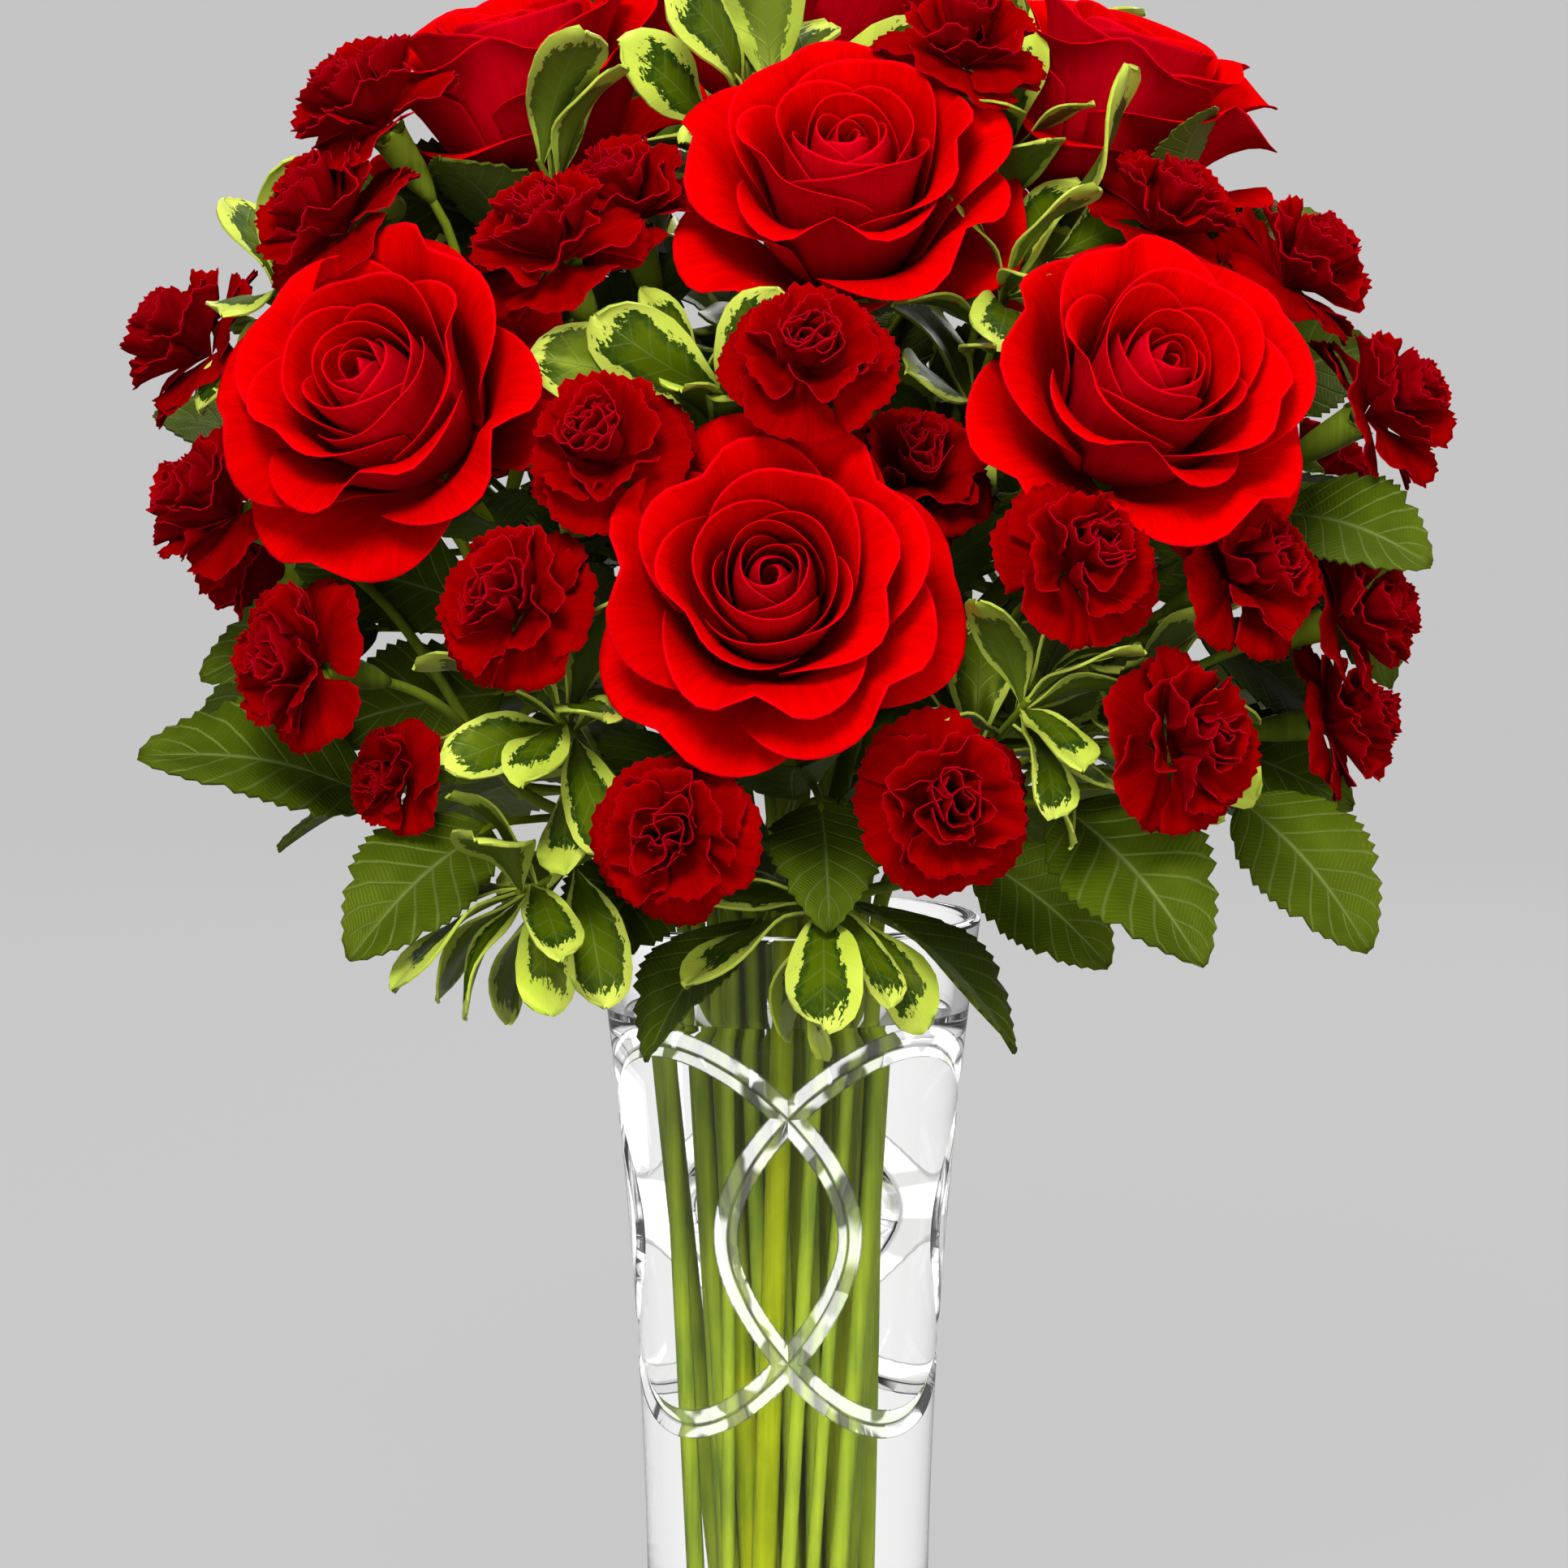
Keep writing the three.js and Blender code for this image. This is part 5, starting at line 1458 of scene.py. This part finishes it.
VASE_STEPS = 6                  # steps of a stem's path inside the vase
ARC_STEPS = 18                  # steps above it
STALK_STEPS = 14
ROSE_NECK = 2.5                 # radii in mm where stems end
SPRAY_NECK = 1.5
TWIG_TIP = 0.8
HIP_LENGTH = 12
CALYX_LENGTH = 22
LEAF_STALK = (1.25, 0.8)        # radii of a rose leaf's stalk at its two ends
FREE_STALK = [1.2, 1.0, 0.9, 0.8]
SPRAY_STALK = 1.25
TWIG_ROOT = 1.4
ROOT_SHARE = 0.06               # how far a stalk runs on into its leaf
ROSE_LEAF_KINDS = 3
SMALL_LEAF_KINDS = 8
FREE_ROSE_LEAF = (42, 0.74)     # length in mm, and width as a share of it
FREE_SMALL_LEAF = (36, 0.48)
FREE_SMALL_STALK = 1.5
SMALL_LEAF_LENGTHS = (33, 43)
SMALL_LEAF_WIDTH = 0.46
WHORL_OPENING = (38, 78)        # degrees between a twig and its leaves, from the tip down


def tubes(name, paths, sides, material):
    """Round stems along paths, as an object."""
    mesh = grown(path_object(paths), tree_of(tube_tree, "Stems along paths"), Sides=sides,
                 Material=material)
    return as_object(name, mesh)


def foliage(feet, shelf, material):
    """A leaf on each foot, as an object."""
    mesh = grown(feet_object(feet), tree_of(leaf_tree, "Leaves on stems"), Variants=shelf,
                 Material=material)
    return as_object("leaves", mesh)


def standing(ring, angle):
    foot, mouth, twist = RINGS[ring]
    low, high = math.radians(angle - twist), math.radians(angle)
    return (point((foot * math.cos(low), foot * math.sin(low), STEM_FOOT)),
            point((mouth * math.cos(high), mouth * math.sin(high), MOUTH_HEIGHT)))


def stem_path(ring, angle, end, end_heading, count):
    foot, mouth = standing(ring, angle)
    heading = unit(mouth - foot)
    return [foot, mouth] + list(bezier(mouth, heading, point(end), end_heading, steps(count)))


def stem_wire(ring, angle, end, end_heading, girth, end_girth=None):
    """A smooth stem for the tube tree: straight in the vase and one arc above it."""
    path = stem_path(ring, angle, end, end_heading, ARC_STEPS)
    foot, mouth = path[:2]
    path = [mix(foot, mouth, t) for t in np.linspace(0, 1, VASE_STEPS + 1)[:-1]] + path[1:]
    end_girth = girth if end_girth is None else end_girth
    return path, [mix(girth, end_girth, ease(i / (len(path) - 1), 0.3, 1)) for i in range(len(path))]


def inner_leaves(curve, seed):
    """Leaves that spiral round a rose's stem inside the bouquet, listed as in ROSES."""
    found = []
    for n, share in enumerate(INNER_LEAVES):
        turn = n * GOLDEN + seed
        outward = point((math.cos(turn), math.sin(turn), mix(-0.3, 0.5, chance(seed, n + 40))))
        foot = curve.at(share) + outward * INNER_STALK
        tip = foot + outward * mix(36, 44, chance(seed, n + 50))
        found.append((share - 0.03, foot, tip, mix(28, 34, chance(seed, n + 60)),
                      mix(-40, 40, chance(seed, n + 70))))
    return found


def rose_greens(i, rose, materials, sides, thicket):
    """Stem, hip, sepals and leaves of a rose, as objects of one piece."""
    face, look, ring, angle, leaves = rose
    stem_green, leaf_green = materials
    look = unit(look)
    base = rose_base(look, face)
    end = base - look * HIP_LENGTH
    coarse = Curve(stem_path(ring, angle, end, look, 5)[1:])
    tree = corner_tree(f"rose_stem_{i + 1}")
    paths = [stem_wire(ring, angle, end, look, ROSE_STEM / 2, ROSE_NECK)]
    feet = []
    for j, (share, foot, tip, width, roll) in enumerate(leaves + inner_leaves(coarse, i)):
        tip = fitted_tip(tree, foot, tip, lambda a, b: rose_leaf_marks(a, b, width, roll))
        if tip is None:
            continue
        tip = thicket.eased(point(foot), tip, width, roll)
        _, across, _ = leaf_sides(tip - point(foot), roll)
        starts = [coarse.at(share + shift) for shift in STALK_SHIFTS]
        elbows = [mix(start, point(foot), 0.6) + point((0, 0, 3)) for start in starts]
        errors = [misfit(tree, [elbow + across * 0.9, elbow - across * 0.9]) for elbow in elbows]
        n = int(np.argmin(errors))
        stalk = Curve([starts[n], elbows[n], foot, mix(point(foot), tip, ROOT_SHARE)])
        paths.append(([stalk.at(t) for t in np.linspace(0, 1, 12)], list(np.linspace(*LEAF_STALK, 12))))
        feet.append(leaf_foot(foot, tip, width, roll, (i + j) % ROSE_LEAF_KINDS, chance(i, 7 + j)))
    free_leaves = []
    for share, foot, tip, width, roll in BACK_LEAVES.get(i + 1, []):
        free_leaves.append((coarse.at(share), thicket.first_clear(all_bends(foot, tip, width, roll))))
    for n, share in enumerate(FILL_PLACES):
        start = coarse.at(share)
        stalk = INNER_STALK * (1 + n % 3)
        free = free_leaf(thicket, start, coarse.heading(share), i, n, stalk, *FREE_ROSE_LEAF)
        free_leaves.append((start, free))
    for n, (start, free) in enumerate(free_leaves):
        if free:
            foot, tip, width, roll = free
            paths.append(([start, mix(start, foot, 0.5), foot, mix(foot, tip, ROOT_SHARE)], FREE_STALK))
            feet.append(leaf_foot(foot, tip, width, roll, n % ROSE_LEAF_KINDS, chance(i, 30 + n)))
    objects = [tubes("stems", paths, sides, stem_green)] + hip_objects(base, look, i, stem_green)
    if feet:
        shelf = variants("rose_leaves", lambda: [rose_leaf_mesh(n) for n in range(ROSE_LEAF_KINDS)])
        objects.append(foliage(feet, shelf, leaf_green))
    return objects


def spray_greens(spray, green, sides):
    """A carnation spray's stem, stalks and calyxes."""
    ring, angle, fork, stem, blooms = spray
    fork = point(fork)
    frames = [bloom_frame(bloom) for bloom in blooms]
    aim = unit(np.mean([base for base, _ in frames], axis=0) - fork)
    trunk, girth = stem_wire(ring, angle, fork, aim, stem / 2, SPRAY_NECK)
    paths, objects = [], []
    for i, ((base, look), bloom) in enumerate(zip(frames, blooms)):
        size = bloom[3] / BLOOM_RADIUS
        calyx = base - look * CALYX_LENGTH * size
        stalk = list(bezier(fork, aim, calyx, look, steps(STALK_STEPS)))
        if i == 0:
            paths.append((trunk + stalk, girth + list(np.linspace(SPRAY_NECK, 1.2, len(stalk)))))
        else:
            start = fork - aim * 3
            paths.append(([start] + stalk, [0.7] + [SPRAY_STALK] * len(stalk)))
        objects.append(calyx_object(base, look, size, green))
    return [tubes("stems", paths, sides, green)] + objects


def branch_lines(branch):
    """The twigs of a branch as coarse lines, and its stems as smooth wires."""
    ring, angle, fork, stem, twigs = branch
    end, heading, _ = twigs[0]
    if fork is None:
        line = stem_path(ring, angle, end, unit(heading), 6)[1:]
        return [line], [stem_wire(ring, angle, end, unit(heading), stem / 2, TWIG_TIP)]
    fork = point(fork)
    aim = unit(unit(point(end) - fork) + point((0, 0, 0.4)))
    wires, lines = [stem_wire(ring, angle, fork, aim, stem / 2)], []
    for tip, look, _ in twigs:
        lines.append([fork - aim * 2] + list(bezier(fork, aim, point(tip), unit(look), steps(4))))
        smooth = [fork - aim * 2] + list(bezier(fork, aim, point(tip), unit(look), steps(STALK_STEPS)))
        wires.append((smooth, list(np.linspace(TWIG_ROOT, TWIG_TIP, len(smooth)))))
    return lines, wires


def branch_greens(i, branch, materials, sides, thicket):
    """A pittosporum branch: twigs with whorls of leaves."""
    twig_green, leaf_green = materials
    lines, wires = branch_lines(branch)
    tree = corner_tree(f"pittosporum_{i + 1}")
    feet = []
    for k, (foot, tip, width) in enumerate(TIP_LEAVES.get(i + 1, [])):
        roll = roll_towards(point(tip) - point(foot), point(TIP_LEAVES_FACE))
        free = thicket.first_clear(all_bends(foot, tip, width, roll))
        if free:
            feet.append(leaf_foot(*free, k, chance(i, k + 60)))
    for twig, line in enumerate(lines):
        curve = Curve(line)
        length = curve.lengths()[-1]
        for k in range(branch[4][twig][2]):
            down = 1.5 + 2 * k if k < 4 else 8 + 11 * (k - 3)
            place = curve.even(max(1 - down / length, 0.05))
            foot, along = curve.at(place), curve.heading(place)
            side = turned(unit((-along[1], along[0], 0.01)), along, k * GOLDEN + twig)
            opening = math.radians(mix(*WHORL_OPENING, min(k / 6, 1)))
            reach = along * math.cos(opening) + side * math.sin(opening)
            size = mix(*SMALL_LEAF_LENGTHS, chance(k, twig + 5))
            width = size * SMALL_LEAF_WIDTH
            tip = fitted_tip(tree, foot, foot + reach * size,
                             lambda a, b: small_leaf_marks(a, b, width, k))
            if tip is not None:
                tip = thicket.eased(foot, tip, width, 0)
                feet.append(leaf_foot(foot, tip, width, 0, k, chance(i + 3, k + twig)))
            place = curve.even(max(1 - (down + 4) / length, 0.05))
            free = free_leaf(thicket, curve.at(place), curve.heading(place), i + 20 * twig, k,
                             FREE_SMALL_STALK, *FREE_SMALL_LEAF)
            if free:
                feet.append(leaf_foot(*free, k + 3, chance(i + 5, k + twig)))
    twigs = tubes("twigs", wires, sides, twig_green)
    shelf = variants("pittosporum_leaves",
                     lambda: [small_leaf_mesh(phase) for phase in range(SMALL_LEAF_KINDS)])
    return [twigs, foliage(feet, shelf, leaf_green)]


# ---------------------------------------------------------------- properties

def colour_property(name, description, default):
    return bpy.props.FloatVectorProperty(name=name, description=description, default=default,
                                         size=3, subtype='COLOR', min=0.0, max=1.0)


class BouquetSizes(bpy.types.PropertyGroup):
    """Sizes and counts of the fine surface."""

    rose_petal_thickness: bpy.props.FloatProperty(
        name="Rose petal thickness", description="Thickness of a rose petal in its middle",
        default=0.0005, min=0.0002, max=0.001, precision=5, unit='LENGTH')
    carnation_petals: bpy.props.IntProperty(
        name="Carnation petals", description="Petals in each carnation head",
        default=CARNATION_PETALS, min=8, max=60)
    stem_sides: bpy.props.IntProperty(
        name="Stem sides", description="Faces round a stem", default=12, min=6, max=32)
    vase_segments: bpy.props.IntProperty(
        name="Vase segments", description="Faces round the vase", default=144, min=48, max=256)


class BouquetColours(bpy.types.PropertyGroup):
    """Colours of petals, leaves, stems and glass."""

    rose_front: colour_property("Rose", "Upper face of rose petals", (0.68, 0.0, 0.0))
    rose_back: colour_property("Rose back", "Outer face of rose petals", (0.50, 0.0, 0.008))
    rose_root: colour_property("Rose root", "Root and veins of rose petals", (0.22, 0.0, 0.001))
    rose_rim: colour_property("Rose rim", "Rim of rose petals", (0.74, 0.002, 0.012))
    carnation_front: colour_property("Carnation", "Upper face of carnation petals", (0.29, 0.0, 0.0))
    carnation_back: colour_property("Carnation back", "Outer face of carnation petals", (0.20, 0.0, 0.002))
    carnation_root: colour_property("Carnation root", "Root of carnation petals", (0.07, 0.0, 0.001))
    carnation_rim: colour_property("Carnation rim", "Rim of carnation petals", (0.50, 0.003, 0.02))
    rose_leaf: colour_property("Rose leaf", "Upper face of rose leaves", (0.03, 0.048, 0.001))
    young_leaf: colour_property("Young leaf", "Younger rose leaves", (0.068, 0.1, 0.002))
    leaf_back: colour_property("Leaf back", "Underside of leaves", (0.075, 0.105, 0.012))
    leaf_vein: colour_property("Leaf vein", "Veins of leaves", (0.14, 0.20, 0.05))
    pittosporum_green: colour_property("Pittosporum", "Middle of pittosporum leaves", (0.06, 0.095, 0.001))
    pittosporum_dark: colour_property("Pittosporum dark", "Green beside the margin", (0.018, 0.045, 0.003))
    margin: colour_property("Margin", "Pale margin of pittosporum leaves", (0.55, 0.60, 0.12))
    margin_bright: colour_property("Bright margin", "Greener part of the margin", (0.38, 0.50, 0.02))
    stem: colour_property("Stem", "Rose stems", (0.16, 0.19, 0.002))
    stem_dark: colour_property("Dark stem", "Darker patches on stems", (0.07, 0.105, 0.001))
    calyx: colour_property("Calyx", "Carnation stems and calyxes", (0.17, 0.22, 0.012))
    calyx_dark: colour_property("Dark calyx", "Darker patches on calyxes", (0.08, 0.13, 0.01))
    glass: colour_property("Glass", "Clear glass", (1.0, 1.0, 1.0))
    water: colour_property("Water", "Water in the vase", (1.0, 1.0, 1.0))
    floor: colour_property("Floor", "Floor and backdrop", (0.565, 0.565, 0.565))


# ---------------------------------------------------------------- operators

class BOUQUET_OT_vase(bpy.types.Operator):
    """Turn the glass vase and cut its interlaced ovals"""

    bl_idname = "bouquet.vase"
    bl_label = "Vase"

    def execute(self, context):
        sizes, colours = context.scene.bouquet_sizes, context.scene.bouquet_colours
        blank = as_object("blank", lathe_mesh("vase_glass", vase_profile(), sizes.vase_segments))
        wheels = [as_object(f"wheel_{n}", groove_mesh(n)) for n in range(OVAL_COUNT)]
        for wheel in wheels:
            cut = blank.modifiers.new("cut", 'BOOLEAN')
            cut.operation = 'DIFFERENCE'
            cut.solver = 'MANIFOLD'
            cut.object = wheel
        evaluated = blank.evaluated_get(context.evaluated_depsgraph_get())
        mesh = bpy.data.meshes.new_from_object(evaluated)
        for used in [blank] + wheels:
            bpy.data.objects.remove(used)
        mesh.name = "vase_glass"
        mesh.materials.clear()
        mesh.materials.append(finish_named("clear glass", glass_finish, colours))
        mesh.materials.append(finish_named("cut facets", facet_finish, colours))
        mark_facets(mesh)
        mesh.shade_smooth()
        mesh.set_sharp_from_angle(angle=math.radians(CUT_CREASE))
        true_wall_normals(mesh)
        vase = as_object("vase_glass", mesh)
        vase.visible_shadow = False
        settle(vase, "glass", "vase")
        return {'FINISHED'}


class BOUQUET_OT_water(bpy.types.Operator):
    """Fill the vase with water"""

    bl_idname = "bouquet.water"
    bl_label = "Water"

    def execute(self, context):
        sizes, colours = context.scene.bouquet_sizes, context.scene.bouquet_colours
        low = FLOOR_HEIGHT - WATER_OVERLAP
        corner = FLOOR_HEIGHT + FLOOR_CORNER
        levels = np.linspace(corner, WATER_LEVEL, WATER_RINGS)
        wall = [(inner_radius(z) + WATER_OVERLAP, z) for z in levels]
        foot = arc((inner_radius(corner) - FLOOR_CORNER, corner), FLOOR_CORNER + WATER_OVERLAP, -90, -8)
        edge = inner_radius(WATER_LEVEL)
        surface = [(edge - inward, WATER_LEVEL + rise * MENISCUS) for inward, rise in WATER_SKIN]
        surface += [(edge / 2, WATER_LEVEL), (0, WATER_LEVEL)]
        mesh = lathe_mesh("water_body", [(0, low)] + foot + wall[:-1] + surface, sizes.vase_segments)
        mesh.materials.append(finish_named("still water", water_finish, colours))
        water = as_object("water_body", mesh)
        water.visible_shadow = False
        settle(water, "water", "water")
        return {'FINISHED'}


class BOUQUET_OT_roses(bpy.types.Operator):
    """Shape every petal of the nine open roses"""

    bl_idname = "bouquet.roses"
    bl_label = "Roses"

    def execute(self, context):
        sizes, colours = context.scene.bouquet_sizes, context.scene.bouquet_colours
        red = petal_red(colours, "rose", *ROSE_VELVET)
        for i, rose in enumerate(ROSES):
            mesh = rose_mesh(rose, i + ROSE_SEED, sizes.rose_petal_thickness)
            mesh.materials.append(red)
            settle(as_object(f"rose_bloom_{i + 1}", mesh), "rose_petal", f"rose_{i + 1}")
        return {'FINISHED'}


class BOUQUET_OT_carnations(bpy.types.Operator):
    """Gather the ruffled petals of each carnation head"""

    bl_idname = "bouquet.carnations"
    bl_label = "Carnations"

    def execute(self, context):
        sizes, colours = context.scene.bouquet_sizes, context.scene.bouquet_colours
        red = petal_red(colours, "carnation", *CARNATION_VELVET)
        for i, keys in enumerate(carnation_nodes()):
            heads = [carnation_head(*key, sizes.carnation_petals, red) for key in keys]
            piece = joined(f"carnation_bloom_{i + 1}", heads)
            settle(piece, "carnation_petal", f"carnation_{i + 1}")
        return {'FINISHED'}


class BOUQUET_OT_rose_stems(bpy.types.Operator):
    """Grow the rose stems with their hips, sepals and leaves"""

    bl_idname = "bouquet.rose_stems"
    bl_label = "Rose stems"

    def execute(self, context):
        sizes, colours = context.scene.bouquet_sizes, context.scene.bouquet_colours
        materials = (finish_named("rose stem", stem_finish, "rose stem", colours.stem,
                                  colours.stem_dark, STEM_ROUGHNESS),
                     finish_named("rose leaf", rose_leaf_finish, colours))
        thicket = Thicket()
        for i, rose in enumerate(ROSES):
            objects = rose_greens(i, rose, materials, sizes.stem_sides, thicket)
            piece = joined(f"rose_green_{i + 1}", objects)
            settle(piece, "rose_green", f"rose_stem_{i + 1}")
        return {'FINISHED'}


class BOUQUET_OT_carnation_stems(bpy.types.Operator):
    """Grow the carnation stems with their stalks and calyxes"""

    bl_idname = "bouquet.carnation_stems"
    bl_label = "Carnation stems"

    def execute(self, context):
        sizes, colours = context.scene.bouquet_sizes, context.scene.bouquet_colours
        green = carnation_green(colours)
        for i, spray in enumerate(SPRAYS):
            piece = joined(f"carnation_green_{i + 1}", spray_greens(spray, green, sizes.stem_sides))
            settle(piece, "carnation_green", f"carnation_stem_{i + 1}")
        return {'FINISHED'}


class BOUQUET_OT_pittosporum(bpy.types.Operator):
    """Grow the pittosporum branches with their variegated leaves"""

    bl_idname = "bouquet.pittosporum"
    bl_label = "Pittosporum"

    def execute(self, context):
        sizes, colours = context.scene.bouquet_sizes, context.scene.bouquet_colours
        materials = (carnation_green(colours),
                     finish_named("variegated leaf", pittosporum_finish, colours))
        thicket = Thicket()
        for i, branch in enumerate(BRANCHES):
            objects = branch_greens(i, branch, materials, sizes.stem_sides, thicket)
            piece = joined(f"pittosporum_branch_{i + 1}", objects)
            settle(piece, "variegated_leaf", f"pittosporum_{i + 1}")
        return {'FINISHED'}


# ---------------------------------------------------------------- stage

CAMERA_PLACE = (-0.001, -1.7, 0.4)
CAMERA_AIM = (-0.001, 0.0, 0.235)
CAMERA_LENS = 151.55
CAMERA_SENSOR = 36
# Rings of the backdrop, as (radius, height) in metres.
BOWL_SEGMENTS = 64
BOWL = [(0, 0), (2.6, 0), (3.2, 0.05), (3.7, 0.25), (4.05, 0.6), (4.25, 1.1), (4.3, 1.8), (4.3, 3.2)]
BOWL_GLOW = 0.965               # how strongly the backdrop shines in its own colour
AMBIENT = 0.22
GLASS_SURROUND = 0.93           # white that clear glass gathers
TURNED_SHARE = 0.3              # of that white, after a mirror-like bounce inside the glass
# Soft lights: place, size in metres, power in watts. All look at the flowers.
LIGHTS = {
    "key": ((-0.25, -1.5, 1.35), 0.6, 34),
    "fill": ((1.2, -1.2, 0.7), 1.0, 12),
    "low": ((-0.4, -1.5, 0.12), 0.7, 9),
    "top": ((0.1, 0.1, 1.6), 0.9, 12),
    "back": ((0.3, 1.6, 1.0), 1.0, 12),
}
LIGHT_AIM = (0.0, 0.0, 0.3)


def looking(place, aim):
    return (Vector(aim) - Vector(place)).to_track_quat('-Z', 'Y').to_euler()


class BOUQUET_OT_stage(bpy.types.Operator):
    """Set the floor, the soft lights and the camera"""

    bl_idname = "bouquet.stage"
    bl_label = "Stage"

    def execute(self, context):
        scene, colours = context.scene, context.scene.bouquet_colours
        self.backdrop(colours)
        self.surround(scene)
        for name, (place, size, power) in LIGHTS.items():
            light = bpy.data.lights.new(name, 'AREA')
            light.shape = 'DISK'
            light.size = size
            light.energy = power
            lamp = bpy.data.objects.new(name, light)
            lamp.location = place
            lamp.rotation_euler = looking(place, LIGHT_AIM)
            scene.collection.objects.link(lamp)
        camera = bpy.data.objects.new("camera", bpy.data.cameras.new("camera"))
        camera.data.lens = CAMERA_LENS
        camera.data.sensor_width = CAMERA_SENSOR
        camera.location = CAMERA_PLACE
        camera.rotation_euler = looking(CAMERA_PLACE, CAMERA_AIM)
        scene.collection.objects.link(camera)
        scene.camera = camera
        scene.view_settings.view_transform = 'Standard'
        return {'FINISHED'}

    def backdrop(self, colours):
        """A floor that curves up all round, seen by the camera alone."""
        segments = BOWL_SEGMENTS
        turns = TAU * np.arange(segments) / segments
        co = [(0, 0, 0)] + [(r * math.cos(a), r * math.sin(a), z) for r, z in BOWL[1:] for a in turns]
        faces = [(0, 1 + j, 1 + (j + 1) % segments) for j in range(segments)]
        for i in range(len(BOWL) - 2):
            low, high = 1 + i * segments, 1 + (i + 1) * segments
            faces += [(low + j, high + j, high + (j + 1) % segments, low + (j + 1) % segments)
                      for j in range(segments)]
        mesh = bpy.data.meshes.new("backdrop")
        mesh.from_pydata(co, [], faces)
        mesh.shade_smooth()
        paint = Finish("backdrop", Base_Color=shade(colours.floor, 0.06), Roughness=0.9,
                       Specular_IOR_Level=0.0, Emission_Color=opaque(colours.floor),
                       Emission_Strength=BOWL_GLOW)
        mesh.materials.append(paint.material)
        floor = as_object("backdrop", mesh)
        for ray in ("diffuse", "glossy", "transmission", "shadow"):
            setattr(floor, f"visible_{ray}", False)

    def surround(self, scene):
        """Even soft light, and a brighter white that only the glass gathers."""
        world = bpy.data.worlds.new("surround")
        world.use_nodes = True
        graph = Graph(world.node_tree)
        light = world.node_tree.nodes["Background"].inputs
        light["Color"].default_value = (1.0, 1.0, 1.0, 1.0)
        path = graph.add('ShaderNodeLightPath').outputs
        unspent = graph.math('LESS_THAN', path["Diffuse Depth"], 0.5)
        unturned = graph.math('LESS_THAN', path["Glossy Depth"], 0.5)
        straight = graph.math('MULTIPLY', path["Is Transmission Ray"], unspent)
        straight = graph.math('MULTIPLY', straight,
                              graph.math('MULTIPLY_ADD', unturned, 1 - TURNED_SHARE, TURNED_SHARE))
        graph.feed(light["Strength"],
                   graph.math('MULTIPLY_ADD', straight, GLASS_SURROUND - AMBIENT, AMBIENT))
        scene.world = world


STEPS = (BOUQUET_OT_vase, BOUQUET_OT_water, BOUQUET_OT_roses, BOUQUET_OT_carnations,
         BOUQUET_OT_rose_stems, BOUQUET_OT_carnation_stems, BOUQUET_OT_pittosporum, BOUQUET_OT_stage)


class BOUQUET_PT_panel(bpy.types.Panel):
    """The bouquet's sizes, colours and steps"""

    bl_idname = "BOUQUET_PT_panel"
    bl_label = "Roses in a vase"
    bl_space_type = 'VIEW_3D'
    bl_region_type = 'UI'
    bl_category = "Bouquet"

    def draw(self, context):
        for settings in (context.scene.bouquet_sizes, context.scene.bouquet_colours):
            box = self.layout.box()
            for name in settings.__annotations__:
                box.prop(settings, name)
        for step in STEPS:
            self.layout.operator(step.bl_idname)


CLASSES = (BouquetSizes, BouquetColours) + STEPS + (BOUQUET_PT_panel,)


def register():
    for item in CLASSES:
        bpy.utils.register_class(item)
    bpy.types.Scene.bouquet_sizes = bpy.props.PointerProperty(type=BouquetSizes)
    bpy.types.Scene.bouquet_colours = bpy.props.PointerProperty(type=BouquetColours)


def unregister():
    del bpy.types.Scene.bouquet_colours
    del bpy.types.Scene.bouquet_sizes
    for item in reversed(CLASSES):
        bpy.utils.unregister_class(item)


def main():
    register()
    bpy.ops.bouquet.vase()
    bpy.ops.bouquet.water()
    bpy.ops.bouquet.roses()
    bpy.ops.bouquet.carnations()
    bpy.ops.bouquet.rose_stems()
    bpy.ops.bouquet.carnation_stems()
    bpy.ops.bouquet.pittosporum()
    bpy.ops.bouquet.stage()
    clear_shelves()


if __name__ == "__main__":
    main()
